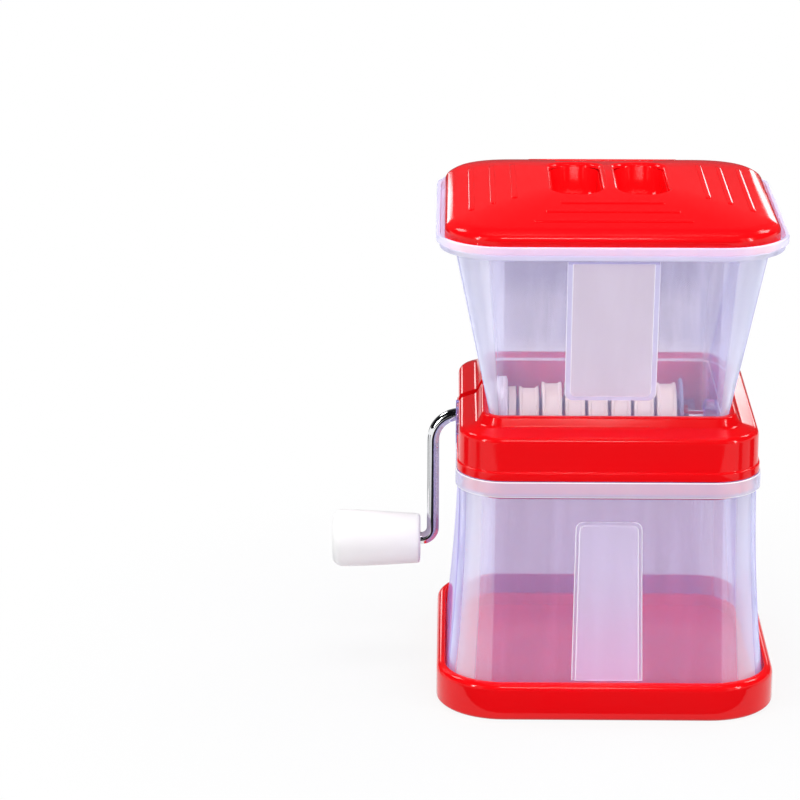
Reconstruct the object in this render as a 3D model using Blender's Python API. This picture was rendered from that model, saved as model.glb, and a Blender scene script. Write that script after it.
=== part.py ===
"""Hand-cranked vegetable chopper.

A square tray closes the foot of a clear container. A red collar sits on the container and takes the neck of a
clear hopper. A bent rod runs through the neck and carries flat blades and spacers, which sweep between two fixed
combs. The lid drops into the hopper's rim.

Metres, +Z up. The origin is the centre of the tray's underside. The crank is on -X and the front is -Y.
"""

import math

import bmesh
import bpy
from mathutils import Matrix, Vector

MM = 0.001

# Clearances
FIT = 0.3 * MM            # parts that rest on or lie against each other
SLIP = 0.7 * MM           # the hopper's neck in the collar
TURN = 0.35 * MM          # a turning rod in its bore
SWEEP = 1.5 * MM          # the turning stack past the comb's fingers

# Walls
TRAY_WALL = 2.2 * MM
CLEAR_WALL = 2.0 * MM
COLLAR_WALL = 2.0 * MM
LID_WALL = 2.2 * MM

# Tray
TRAY_LEDGE = 4.0 * MM
TRAY_CORNER = 32.0 * MM
TRAY_HEIGHT = 18.0 * MM
TRAY_FLOOR = 2.6 * MM
TRAY_SHOULDER = 3.4 * MM
SEAT_HEIGHT = 8.0 * MM
SEAT_WIDTH = 4.0 * MM
EDGE_ROUND = 1.0 * MM

# Container
MOUTH_HALF = 70.0 * MM
BODY_FLARE = 6.2 * MM
MOUTH_CORNER = 21.5 * MM
FLARE_POWER = 1.9
BODY_HEIGHT = 99.5 * MM
BAND_HEIGHT = 7.6 * MM
BAND_PROUD = 1.8 * MM
SOCKET_DEPTH = 6.8 * MM
EAR_WIDTH = 22.0 * MM
EAR_ROUND = 4.0 * MM

# Collar
COLLAR_OVERHANG = 0.4 * MM
COLLAR_CORNER = 21.5 * MM
COLLAR_WALL_HEIGHT = 21.0 * MM
COLLAR_FOOT_HEIGHT = 4.0 * MM
COLLAR_FOOT_PROUD = 0.8 * MM
COLLAR_SHOULDER = 3.2 * MM
COLLAR_STEP_RISE = 2.0 * MM
COLLAR_RIM = 2.4 * MM
COLLAR_TOP_RISE = 4.8 * MM
COLLAR_TOP_RUN = 2.6 * MM
COLLAR_SKIRT = 5.4 * MM
LEDGE_WIDTH = 2.7 * MM
LEDGE_THICK = 2.2 * MM

# Hopper
NECK_SET_IN = 14.4 * MM
NECK_CORNER = 5.7 * MM
NECK_HEIGHT = 34.4 * MM
FUNNEL_SPREAD = 17.1 * MM
FUNNEL_HEIGHT = 83.0 * MM
SHELF_RUN = 7.1 * MM
SHELF_THICK = 2.0 * MM
UNDER_BAND = 3.0 * MM
LIP_PROUD = 1.6 * MM
LIP_HEIGHT = 3.6 * MM

# Frosted pads, on the front only
PAD_PROUD = 0.5 * MM
PAD_CORNER = 3.6 * MM
HOPPER_PAD_WIDTH = 42.5 * MM
HOPPER_PAD_DROP = 72.0 * MM
BODY_PAD_FOOT_WIDTH = 33.5 * MM
BODY_PAD_TOP_WIDTH = 31.0 * MM
BODY_PAD_HEIGHT = 77.0 * MM

# Lid
LID_MARGIN = 1.9 * MM
LID_SKIRT = 8.2 * MM
LID_SLOPE_RUN = 5.0 * MM
LID_SLOPE_RISE = 3.0 * MM
LID_CROWN = 9.4 * MM
CROWN_POWER = 1.95
WELL_LENGTH = 65.0 * MM
WELL_WIDTH = 24.0 * MM
WELL_DEPTH = 17.0 * MM
WELL_CORNER = 10.5 * MM
WELL_TAPER = 2.2 * MM
GRIP_BAR = 7.0 * MM
RIB_WIDTH = 2.6 * MM
RIB_RISE = 0.6 * MM
RIB_EDGE_GAP = 7.5 * MM
RIB_PITCH = 10.0 * MM
SIDE_RIB_HALVES = (45.0 * MM, 40.0 * MM, 36.0 * MM)
END_RIB_HALVES = (36.5 * MM, 31.0 * MM, 24.0 * MM)

# Crank and handle
ROD = 6.0 * MM
SHAFT_RISE = 20.8 * MM
EAR_RISE = 5.0 * MM
ARM_STANDOFF = 11.5 * MM
ARM_LENGTH = 63.6 * MM
SHAFT_BEND = 13.0 * MM
HANDLE_BEND = 5.8 * MM
SHAFT_FLAT = 4.8 * MM
GRIP_LENGTH = 43.0 * MM
GRIP_INNER = 24.4 * MM
GRIP_OUTER = 27.8 * MM
GRIP_INNER_ROUND = 1.2 * MM
GRIP_END_ROUND = 4.6 * MM
GRIP_RECESS = 9.0 * MM
GRIP_RECESS_BORE = 13.0 * MM
RETAINER_BORE_WALL = 2.2 * MM
RETAINER_THICK = 1.6 * MM

# Blades and what stands between them
BLADE_COUNT = 8
BLADE_THICK = 1.0 * MM
BLADE_REACH = 40.0 * MM
BLADE_WIDTH = 10.4 * MM
BLADE_HUB = 17.0 * MM
BLADE_EDGE = 0.3 * MM
BLADE_BEVEL = 1.7 * MM
SMALL_SPACER = 28.6 * MM
LARGE_SPACER = 33.2 * MM
SPACER_RIM = 0.8 * MM
SPACER_RIM_WIDTH = 1.2 * MM
END_SPACER = 3.6 * MM
WASHER = 37.4 * MM
WASHER_THICK = 1.5 * MM
NUT_ACROSS = 10.0 * MM
NUT_THICK = 3.2 * MM
FREE_SHAFT = 7.3 * MM

# Bushes
BUSH_SLEEVE = 12.6 * MM
CRANK_BUSH_FLANGE = 38.6 * MM
FAR_BUSH_FLANGE = 16.4 * MM
CRANK_BUSH_DEPTH = 6.6 * MM
FAR_BUSH_DEPTH = 5.2 * MM

# Combs
COMB_BAR_THICK = 3.0 * MM
COMB_BAR_HEIGHT = 11.0 * MM
COMB_RISE = 3.0 * MM
COMB_END_GAP = 6.0 * MM
FINGER_THICK = 2.0 * MM
FINGER_ROOT = 9.0 * MM
FINGER_TIP = 5.0 * MM

# Smoothness
CORNER_STEPS = 6
FLARE_STEPS = 7
TURNED_STEPS = 28
ROD_SIDES = 14
BEND_STEPS = 9

# Heights worked out from the stack, from the tray up
SEAT_TOP = SEAT_HEIGHT
BODY_FOOT = SEAT_TOP + FIT
BAND_FOOT = BODY_FOOT + BODY_HEIGHT
BODY_TOP = BAND_FOOT + BAND_HEIGHT
COLLAR_FOOT = BODY_TOP + FIT
COLLAR_EDGE = COLLAR_FOOT + COLLAR_WALL_HEIGHT
COLLAR_TOP = COLLAR_EDGE + COLLAR_STEP_RISE + COLLAR_TOP_RISE
SKIRT_FOOT = BODY_TOP - SOCKET_DEPTH + FIT
LEDGE_FOOT = SKIRT_FOOT - COLLAR_SKIRT
LEDGE_TOP = LEDGE_FOOT + LEDGE_THICK
NECK_FOOT = LEDGE_TOP + FIT
NECK_TOP = NECK_FOOT + NECK_HEIGHT
SHELF_FOOT = NECK_TOP + FUNNEL_HEIGHT
SHELF_TOP = SHELF_FOOT + SHELF_THICK
BAND_TOP = SHELF_FOOT + UNDER_BAND
LIP_TOP = BAND_TOP + LIP_HEIGHT
LID_FOOT = SHELF_TOP + FIT
LID_SKIRT_TOP = LID_FOOT + LID_SKIRT
LID_EDGE = LID_SKIRT_TOP + LID_SLOPE_RISE
SHAFT_HEIGHT = NECK_FOOT + SHAFT_RISE
EAR_TOP = SHAFT_HEIGHT + EAR_RISE
HANDLE_HEIGHT = SHAFT_HEIGHT - ARM_LENGTH

# Half-widths worked out from their neighbours
FOOT_HALF = MOUTH_HALF + BODY_FLARE
TRAY_INNER_HALF = FOOT_HALF + FIT
TRAY_HALF = TRAY_INNER_HALF + TRAY_LEDGE
SOCKET_HALF = MOUTH_HALF + BAND_PROUD - CLEAR_WALL
SKIRT_HALF = SOCKET_HALF - FIT
COLLAR_HALF = MOUTH_HALF + COLLAR_OVERHANG
NECK_HALF = MOUTH_HALF - NECK_SET_IN
FUNNEL_HALF = NECK_HALF + FUNNEL_SPREAD
COLLAR_BORE_HALF = NECK_HALF + SLIP
COLLAR_BORE_CORNER = NECK_CORNER + SLIP
SHELF_HALF = FUNNEL_HALF + SHELF_RUN
LIP_HALF = SHELF_HALF + LIP_PROUD
LID_HALF = LIP_HALF - CLEAR_WALL - LID_MARGIN
NECK_INNER = NECK_HALF - CLEAR_WALL
ROD_BORE = ROD / 2 + TURN
SLOT_HALF = ROD / 2 + SLIP
BUSH_WALL_FACE = NECK_INNER - FIT
SLEEVE_END = NECK_HALF - FIT / 3
CRANK_BUSH_FACE = BUSH_WALL_FACE - CRANK_BUSH_DEPTH
FAR_BUSH_FACE = BUSH_WALL_FACE - FAR_BUSH_DEPTH
ROD_END = BUSH_WALL_FACE
ARM_OFFSET = COLLAR_HALF + COLLAR_FOOT_PROUD + ARM_STANDOFF
STACK_START = FIT - CRANK_BUSH_FACE
STACK_END = FAR_BUSH_FACE - FREE_SHAFT
FIRST_BLADE = STACK_START + END_SPACER + FIT + BLADE_THICK / 2
LAST_BLADE = STACK_END - NUT_THICK - WASHER_THICK - 2 * FIT - BLADE_THICK / 2
BLADE_PITCH = (LAST_BLADE - FIRST_BLADE) / (BLADE_COUNT - 1)
GRIP_START = ARM_OFFSET + HANDLE_BEND + FIT

RED = (0.76, 0.005, 0.012)
CLEAR = (0.78, 0.80, 0.93)
WHITE = (0.86, 0.85, 0.84)
CREAM = (0.83, 0.79, 0.74)
STEEL = (0.62, 0.63, 0.65)
SLATE = (0.20, 0.21, 0.27)
SMOKE = (0.45, 0.47, 0.58)


def clear_scene():
    """Remove whatever the file holds, so that each run starts empty."""
    for item in list(bpy.data.objects):
        bpy.data.objects.remove(item, do_unlink=True)


def material(name, colour, roughness, metallic=0.0, alpha=1.0):
    """One Principled material with plain values."""
    result = bpy.data.materials.new(name)
    result.use_nodes = True
    shader = result.node_tree.nodes["Principled BSDF"]
    shader.inputs["Base Color"].default_value = (*colour, 1.0)
    shader.inputs["Roughness"].default_value = roughness
    shader.inputs["Metallic"].default_value = metallic
    shader.inputs["Alpha"].default_value = alpha
    result.diffuse_color = (*colour, alpha)
    return result


def new_object(name, mesh_builder, finish, smooth_angle=35.0):
    """Turn a finished bmesh into a named, shaded object."""
    bmesh.ops.recalc_face_normals(mesh_builder, faces=mesh_builder.faces)
    mesh = bpy.data.meshes.new(name)
    mesh_builder.to_mesh(mesh)
    mesh_builder.free()
    mesh.materials.append(finish)
    mesh.shade_smooth()
    mesh.set_sharp_from_angle(angle=math.radians(smooth_angle))
    result = bpy.data.objects.new(name, mesh)
    bpy.context.scene.collection.objects.link(result)
    return result


def guide_object(name, mesh_builder):
    """A shape that only cuts or joins: it is never rendered."""
    bmesh.ops.recalc_face_normals(mesh_builder, faces=mesh_builder.faces)
    mesh = bpy.data.meshes.new(name)
    mesh_builder.to_mesh(mesh)
    mesh_builder.free()
    result = bpy.data.objects.new(name, mesh)
    result.hide_render = True
    result.display_type = "WIRE"
    bpy.context.scene.collection.objects.link(result)
    return result


def combine(target, guide, operation):
    """Cut or join the target with a guide, as a live modifier."""
    step = target.modifiers.new(guide.name, "BOOLEAN")
    step.operation = operation
    step.solver = "EXACT"
    step.object = guide


def square_ring(builder, half, corner, height):
    """Vertices of a rounded square, counter-clockwise from the +X side."""
    corner = max(corner, 0.3 * MM)
    straight = half - corner
    ring = []
    for quarter in range(4):
        turn = Matrix.Rotation(quarter * math.pi / 2, 3, "Z")
        for step in range(CORNER_STEPS + 1):
            angle = step / CORNER_STEPS * math.pi / 2
            point = Vector((straight + corner * math.cos(angle), straight + corner * math.sin(angle), height))
            ring.append(builder.verts.new(turn @ point))
    return ring


def bridge(builder, lower, upper):
    """Quads between two rings with equally many vertices."""
    count = len(lower)
    for index in range(count):
        after = (index + 1) % count
        builder.faces.new((lower[index], lower[after], upper[after], upper[index]))


def lofted(sections, closed):
    """Skin rounded squares (half, corner, height): round again to the first, or capped at both ends."""
    builder = bmesh.new()
    rings = [square_ring(builder, *section) for section in sections]
    for lower, upper in zip(rings, rings[1:]):
        bridge(builder, lower, upper)
    if closed:
        bridge(builder, rings[-1], rings[0])
    else:
        builder.faces.new(reversed(rings[0]))
        builder.faces.new(rings[-1])
    return builder


def turned(profile, steps=TURNED_STEPS, builder=None):
    """Turn (along, radius) points round the X axis; the profile closes on itself."""
    builder = builder or bmesh.new()
    rings = []
    for along, radius in profile:
        ring = []
        for step in range(steps):
            angle = 2 * math.pi * step / steps
            ring.append(builder.verts.new((along, radius * math.cos(angle), radius * math.sin(angle))))
        rings.append(ring)
    for lower, upper in zip(rings, rings[1:]):
        bridge(builder, lower, upper)
    bridge(builder, rings[-1], rings[0])
    return builder


def block(builder, low, high):
    """An upright box between two corners."""
    made = bmesh.ops.create_cube(builder, size=1.0)
    centre = (Vector(low) + Vector(high)) / 2
    size = Vector(high) - Vector(low)
    for vertex in made["verts"]:
        vertex.co = Vector((vertex.co.x * size.x, vertex.co.y * size.y, vertex.co.z * size.z)) + centre


def prism(builder, sections):
    """Skin equal-length point loops and cap both ends."""
    rings = [[builder.verts.new(point) for point in section] for section in sections]
    for lower, upper in zip(rings, rings[1:]):
        bridge(builder, lower, upper)
    builder.faces.new(reversed(rings[0]))
    builder.faces.new(rings[-1])


def offset_corner(half, base_half, base_corner):
    """Corner radius that keeps a rounded square concentric with a known one."""
    return base_corner + half - base_half


def arc(centre_half, centre_height, radius, start, end, steps):
    """(half, height) points of a rounded edge, angles in degrees from level."""
    points = []
    for step in range(steps + 1):
        angle = math.radians(start + (end - start) * step / steps)
        points.append((centre_half + radius * math.cos(angle), centre_height + radius * math.sin(angle)))
    return points


def body_half(height):
    """Outer half-width of the container: upright at the mouth, flaring towards the foot."""
    share = (BAND_FOOT - height) / (BAND_FOOT - BODY_FOOT)
    return MOUTH_HALF + (FOOT_HALF - MOUTH_HALF) * max(share, 0.0) ** FLARE_POWER


def funnel_half(height):
    """Outer half-width of the hopper's funnel."""
    share = (height - NECK_TOP) / FUNNEL_HEIGHT
    return NECK_HALF + (FUNNEL_HALF - NECK_HALF) * share


def base_tray():
    """Shallow square tray: seat ledge inside, open channel under the ledge."""
    channel_outer = TRAY_HALF - TRAY_WALL
    channel_inner = TRAY_INNER_HALF - SEAT_WIDTH + TRAY_WALL
    channel_top = SEAT_HEIGHT - TRAY_WALL
    profile = [(channel_inner, 0.0), (channel_inner, channel_top), (channel_outer, channel_top)]
    profile += [(channel_outer, 0.0), (TRAY_HALF - EDGE_ROUND, 0.0)]
    profile += arc(TRAY_HALF - EDGE_ROUND, EDGE_ROUND, EDGE_ROUND, -45, 0, 1)
    shoulder = TRAY_HEIGHT - TRAY_SHOULDER
    profile += arc(TRAY_HALF - TRAY_SHOULDER - FIT, shoulder, TRAY_SHOULDER, 0, 90, 4)
    profile += [(TRAY_INNER_HALF + FIT, TRAY_HEIGHT), (TRAY_INNER_HALF, TRAY_HEIGHT - FIT * 2)]
    profile += [(TRAY_INNER_HALF, SEAT_HEIGHT), (TRAY_INNER_HALF - SEAT_WIDTH, SEAT_HEIGHT)]
    profile += [(TRAY_INNER_HALF - SEAT_WIDTH, TRAY_FLOOR)]
    sections = [(half, offset_corner(half, TRAY_HALF, TRAY_CORNER), height) for half, height in profile]
    return new_object("base_tray", lofted(sections, False), material("tray_red", RED, 0.18))


def wall_pad(name, wall_half, low, high, low_width, high_width, round_low, round_high):
    """A thin raised pad on the front face, which follows the wall from low to high."""
    builder = bmesh.new()
    levels = set()
    for step in range(FLARE_STEPS + 1):
        levels.add(low + (high - low) * step / FLARE_STEPS)
    for step in range(1, 4):
        part = PAD_CORNER * (1 - math.cos(step / 3 * math.pi / 2))
        levels.add(low + part if round_low else low)
        levels.add(high - part if round_high else high)
    sections = []
    for height in sorted(levels):
        width = low_width + (high_width - low_width) * (height - low) / (high - low)
        ends = []
        if round_low:
            ends.append(height - low)
        if round_high:
            ends.append(high - height)
        near = min([end for end in ends if end < PAD_CORNER], default=PAD_CORNER)
        lost = PAD_CORNER - math.sqrt(max(PAD_CORNER ** 2 - (PAD_CORNER - near) ** 2, 0.0))
        half = width / 2 - lost
        face = wall_half(height)
        sunk = face - CLEAR_WALL / 2
        proud = face + PAD_PROUD
        loop = ((-half, -proud), (half, -proud), (half, -sunk), (-half, -sunk))
        sections.append([Vector((x, y, height)) for x, y in loop])
    prism(builder, sections)
    return guide_object(name, builder)


def rod_ear():
    """Upright ear on the crank side: the flange band's wall carried up past the shaft, with rounded corners."""
    builder = bmesh.new()
    half = EAR_WIDTH / 2
    outline = [(-half, BODY_TOP - FIT * 4), (half, BODY_TOP - FIT * 4)]
    for sign, start in ((1, 0), (-1, 90)):
        for step in range(5):
            angle = math.radians(start + 90 * step / 4)
            y = sign * (half - EAR_ROUND) + EAR_ROUND * math.cos(angle)
            outline.append((y, EAR_TOP - EAR_ROUND + EAR_ROUND * math.sin(angle)))
    far = -(MOUTH_HALF + BAND_PROUD - FIT / 2)
    near = -(SOCKET_HALF + FIT / 2)
    prism(builder, [[Vector((along, y, z)) for y, z in outline] for along in (far, near)])
    return guide_object("rod_ear", builder)


def lower_container(slot):
    """Clear open-ended body: flared walls, a socketed flange band with the rod's ear, a frosted pad in front."""
    heights = [BODY_FOOT + (BAND_FOOT - BODY_FOOT) * step / FLARE_STEPS for step in range(FLARE_STEPS + 1)]
    band_half = MOUTH_HALF + BAND_PROUD
    profile = [(body_half(height), height) for height in heights]
    profile += [(band_half, BAND_FOOT), (band_half, BODY_TOP - FIT), (band_half - FIT, BODY_TOP)]
    profile += [(SOCKET_HALF, BODY_TOP), (SOCKET_HALF, BODY_TOP - SOCKET_DEPTH)]
    inner_top = BAND_FOOT - FIT
    profile += [(MOUTH_HALF - CLEAR_WALL, BODY_TOP - SOCKET_DEPTH)]
    for height in reversed(heights[:-1] + [inner_top]):
        profile.append((body_half(height) - CLEAR_WALL, height))
    sections = [(half, offset_corner(half, MOUTH_HALF, MOUTH_CORNER), height) for half, height in profile]
    body = new_object("lower_container", lofted(sections, True), material("container_clear", CLEAR, 0.12, alpha=0.35))
    foot = TRAY_HEIGHT + FIT * 2
    pad = wall_pad("container_pad", body_half, foot, foot + BODY_PAD_HEIGHT, BODY_PAD_FOOT_WIDTH,
                     BODY_PAD_TOP_WIDTH, False, True)
    combine(body, pad, "UNION")
    combine(body, rod_ear(), "UNION")
    combine(body, slot, "DIFFERENCE")
    return body


def ear_recess():
    """Shallow recess in the collar's outside, open at the foot, for the container's ear."""
    builder = bmesh.new()
    half = EAR_WIDTH / 2 + FIT
    far = -(COLLAR_HALF + COLLAR_FOOT_PROUD + CLEAR_WALL)
    block(builder, (far, -half, SKIRT_FOOT - FIT), (FIT / 2 - SKIRT_HALF, half, EAR_TOP + FIT * 2))
    return guide_object("ear_recess", builder)


def collar(slot):
    """Red ring: foot band, wall, stepped top, inner wall with a ledge for the neck, skirt in the socket."""
    foot_half = COLLAR_HALF + COLLAR_FOOT_PROUD
    foot_top = COLLAR_FOOT + COLLAR_FOOT_HEIGHT
    bore = COLLAR_BORE_HALF
    top_half = bore + FIT + COLLAR_RIM
    step_half = top_half + COLLAR_TOP_RUN
    outer = [(foot_half, COLLAR_FOOT), (foot_half, foot_top - FIT), (foot_half - FIT, foot_top)]
    outer += [(COLLAR_HALF, foot_top + FIT)]
    outer += arc(COLLAR_HALF - COLLAR_SHOULDER, COLLAR_EDGE - COLLAR_SHOULDER, COLLAR_SHOULDER, 0, 80, 4)
    outer += [(step_half + EDGE_ROUND, COLLAR_EDGE + COLLAR_STEP_RISE - FIT)]
    outer += [(step_half, COLLAR_EDGE + COLLAR_STEP_RISE + FIT)]
    outer += [(top_half + EDGE_ROUND, COLLAR_TOP - EDGE_ROUND), (top_half, COLLAR_TOP)]
    inner = [(bore + FIT, COLLAR_TOP), (bore, COLLAR_TOP - FIT), (bore, LEDGE_TOP)]
    inner += [(bore - LEDGE_WIDTH, LEDGE_TOP), (bore - LEDGE_WIDTH, LEDGE_FOOT)]
    inner += [(bore + COLLAR_WALL, LEDGE_FOOT)]
    under = [(bore + COLLAR_WALL, COLLAR_EDGE + COLLAR_STEP_RISE - COLLAR_WALL)]
    under += [(step_half - COLLAR_WALL / 2, COLLAR_EDGE + COLLAR_STEP_RISE - COLLAR_WALL)]
    under += [(SKIRT_HALF - COLLAR_WALL, COLLAR_EDGE - COLLAR_SHOULDER - FIT)]
    under += [(SKIRT_HALF - COLLAR_WALL, SKIRT_FOOT), (SKIRT_HALF, SKIRT_FOOT), (SKIRT_HALF, COLLAR_FOOT)]
    sections = []
    for half, height in outer + inner + under:
        share = (COLLAR_HALF - half) / (COLLAR_HALF - bore)
        corner = COLLAR_CORNER + (COLLAR_BORE_CORNER - COLLAR_CORNER) * share
        if half < bore:
            corner = offset_corner(half, bore, COLLAR_BORE_CORNER)
        sections.append((half, corner, height))
    ring = new_object("collar", lofted(sections, True), material("collar_red", RED, 0.18))
    combine(ring, ear_recess(), "DIFFERENCE")
    combine(ring, slot, "DIFFERENCE")
    return ring


def rod_slot():
    """Open-topped slot with a round bottom, through the ear and both of the collar's walls on the crank side."""
    builder = bmesh.new()
    near = -(COLLAR_BORE_HALF - LEDGE_WIDTH)
    far = -(COLLAR_HALF + COLLAR_FOOT_PROUD + SLOT_HALF)
    outline = [(SLOT_HALF, COLLAR_TOP + SLOT_HALF)]
    outline += [(-SLOT_HALF, COLLAR_TOP + SLOT_HALF)]
    for step in range(9):
        angle = math.pi * (1 + step / 8)
        outline.append((SLOT_HALF * math.cos(angle), SHAFT_HEIGHT + SLOT_HALF * math.sin(angle)))
    prism(builder, [[Vector((along, y, z)) for y, z in outline] for along in (far, near)])
    return guide_object("rod_slot", builder)


def bush_holes():
    """Round holes for the two bush sleeves, through the neck's crank side and far side."""
    builder = bmesh.new()
    radius = BUSH_SLEEVE / 2 + FIT
    for side in (-1, 1):
        sections = []
        for along in (NECK_INNER - CLEAR_WALL, NECK_HALF + CLEAR_WALL):
            loop = []
            for step in range(TURNED_STEPS):
                angle = 2 * math.pi * step / TURNED_STEPS
                loop.append(Vector((side * along, radius * math.cos(angle), SHAFT_HEIGHT + radius * math.sin(angle))))
            sections.append(loop)
        prism(builder, sections)
    return guide_object("bush_holes", builder)


def hopper():
    """Clear funnel on a square neck, with a stepped rim that seats the lid."""
    inner_slope = [(NECK_INNER, NECK_TOP), (FUNNEL_HALF - CLEAR_WALL, SHELF_FOOT - FIT)]
    outer = [(NECK_HALF, NECK_FOOT), (NECK_HALF, NECK_TOP), (FUNNEL_HALF, SHELF_FOOT - EDGE_ROUND)]
    outer += [(FUNNEL_HALF + EDGE_ROUND, SHELF_FOOT), (SHELF_HALF, SHELF_FOOT), (SHELF_HALF, BAND_TOP)]
    outer += [(LIP_HALF, BAND_TOP), (LIP_HALF, LIP_TOP - FIT), (LIP_HALF - FIT, LIP_TOP)]
    lip_inner = LIP_HALF - CLEAR_WALL
    inner = [(lip_inner + FIT, LIP_TOP), (lip_inner, LIP_TOP - FIT), (lip_inner, SHELF_TOP)]
    inner += [(FUNNEL_HALF - CLEAR_WALL + EDGE_ROUND, SHELF_TOP)]
    inner += [inner_slope[1], inner_slope[0], (NECK_INNER, NECK_FOOT)]
    sections = [(half, offset_corner(half, NECK_HALF, NECK_CORNER), height) for half, height in outer + inner]
    funnel = new_object("hopper", lofted(sections, True), material("hopper_clear", CLEAR, 0.10, alpha=0.3))
    high = SHELF_FOOT - EDGE_ROUND * 2
    pad = wall_pad("hopper_pad", funnel_half, SHELF_FOOT - HOPPER_PAD_DROP, high, HOPPER_PAD_WIDTH,
                     HOPPER_PAD_WIDTH, True, False)
    combine(funnel, pad, "UNION")
    combine(funnel, bush_holes(), "DIFFERENCE")
    return funnel


def crown_height(reach):
    """Height of the lid's shallow hipped crown at a distance from the centre."""
    plateau = LID_HALF - LID_SLOPE_RUN
    return LID_EDGE + LID_CROWN * (1 - (reach / plateau) ** CROWN_POWER)


def well_guide(name, grow, top, floor):
    """Two tapered pockets, side by side, with the grip bar between them."""
    builder = bmesh.new()
    centre = GRIP_BAR / 2 + WELL_WIDTH / 2
    for side in (-1, 1):
        sections = []
        for height, inset in ((floor, WELL_TAPER), (top, 0.0)):
            half_x = WELL_WIDTH / 2 - inset + grow
            half_y = WELL_LENGTH / 2 - inset + grow
            corner = min(WELL_CORNER - inset + grow, half_x - FIT)
            loop = []
            for sign_x, sign_y, start in ((1, 1, 0), (-1, 1, 90), (-1, -1, 180), (1, -1, 270)):
                for step in range(CORNER_STEPS):
                    angle = math.radians(start + 90 * step / (CORNER_STEPS - 1))
                    x = sign_x * (half_x - corner) + corner * math.cos(angle)
                    y = sign_y * (half_y - corner) + corner * math.sin(angle)
                    loop.append(Vector((side * centre + x, y, height)))
            sections.append(loop)
        prism(builder, sections)
    return guide_object(name, builder)


def rib_guide():
    """Raised ribs with round ends that follow the crown: rows on the two sides and the two ends."""
    builder = bmesh.new()
    first = LID_HALF - LID_SLOPE_RUN - RIB_EDGE_GAP
    rows = [(0, first - index * RIB_PITCH, half) for index, half in enumerate(SIDE_RIB_HALVES)]
    rows += [(1, first - index * RIB_PITCH, half) for index, half in enumerate(END_RIB_HALVES)]
    for across, offset, length in rows:
        for side in (-1, 1):
            sections = []
            for end, wide in ((-1.0, 0.45), (-0.97, 1.0), (-0.5, 1.0), (0.0, 1.0), (0.5, 1.0), (0.97, 1.0), (1.0, 0.45)):
                along = end * length
                half = RIB_WIDTH / 2 * wide
                top = crown_height(max(abs(along), offset)) + RIB_RISE
                low = top - RIB_RISE - LID_WALL / 2
                shape = ((-half, low), (half, low), (half, top - FIT), (half / 2, top), (-half / 2, top), (-half, top - FIT))
                loop = []
                for shift, height in shape:
                    place = side * offset + shift
                    loop.append(Vector((along, place, height)) if across else Vector((place, along, height)))
                sections.append(loop)
            prism(builder, sections)
    return guide_object("lid_ribs", builder)


def lid():
    """Red drop-in lid: skirt, sloped edge, hipped crown, two finger wells and rows of ribs."""
    plateau = LID_HALF - LID_SLOPE_RUN
    crown = [plateau * share for share in (0.8, 0.55, 0.3, 0.08)]
    outer = [(LID_HALF, LID_FOOT), (LID_HALF, LID_SKIRT_TOP - EDGE_ROUND)]
    outer += [(LID_HALF - EDGE_ROUND / 2, LID_SKIRT_TOP), (plateau + EDGE_ROUND, LID_EDGE - EDGE_ROUND / 2)]
    outer += [(plateau - EDGE_ROUND, crown_height(plateau - EDGE_ROUND))]
    outer += [(reach, crown_height(reach)) for reach in crown]
    inner = [(reach, crown_height(reach) - LID_WALL) for reach in reversed(crown)]
    inner += [(plateau - EDGE_ROUND, crown_height(plateau) - LID_WALL)]
    inner += [(LID_HALF - LID_WALL, LID_SKIRT_TOP - LID_WALL / 2), (LID_HALF - LID_WALL, LID_FOOT)]
    builder = bmesh.new()
    outer_rings = []
    for half, height in outer:
        outer_rings.append(square_ring(builder, half, offset_corner(half, NECK_HALF, NECK_CORNER), height))
    inner_rings = []
    for half, height in inner:
        inner_rings.append(square_ring(builder, half, offset_corner(half, NECK_HALF, NECK_CORNER), height))
    for rings in (outer_rings, inner_rings):
        for lower, upper in zip(rings, rings[1:]):
            bridge(builder, lower, upper)
    builder.faces.new(outer_rings[-1])
    builder.faces.new(reversed(inner_rings[0]))
    bridge(builder, inner_rings[-1], outer_rings[0])
    cover = new_object("lid", builder, material("lid_red", RED, 0.16))
    top = crown_height(0.0)
    floor = top - WELL_DEPTH
    combine(cover, rib_guide(), "UNION")
    combine(cover, well_guide("well_shells", LID_WALL, top - LID_WALL * 1.4, floor - LID_WALL), "UNION")
    combine(cover, well_guide("well_hollows", 0.0, top + LID_CROWN, floor), "DIFFERENCE")
    return cover


def rod_path():
    """Centre line of the rod in its own plane: shaft, bend, arm, bend, handle axle."""
    arm = -ARM_OFFSET
    points = [Vector((ROD_END - FIT, 0.0, 0.0))]
    corner = Vector((arm + SHAFT_BEND, 0.0, -SHAFT_BEND))
    for step in range(BEND_STEPS + 1):
        angle = math.pi / 2 + math.pi / 2 * step / BEND_STEPS
        points.append(corner + SHAFT_BEND * Vector((math.cos(angle), 0.0, math.sin(angle))))
    corner = Vector((arm - HANDLE_BEND, 0.0, -ARM_LENGTH + HANDLE_BEND))
    for step in range(BEND_STEPS + 1):
        angle = -math.pi / 2 * step / BEND_STEPS
        points.append(corner + HANDLE_BEND * Vector((math.cos(angle), 0.0, math.sin(angle))))
    end = -(GRIP_START + GRIP_LENGTH - GRIP_RECESS + RETAINER_THICK + FIT * 6)
    points.append(Vector((end, 0.0, -ARM_LENGTH)))
    return points


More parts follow.
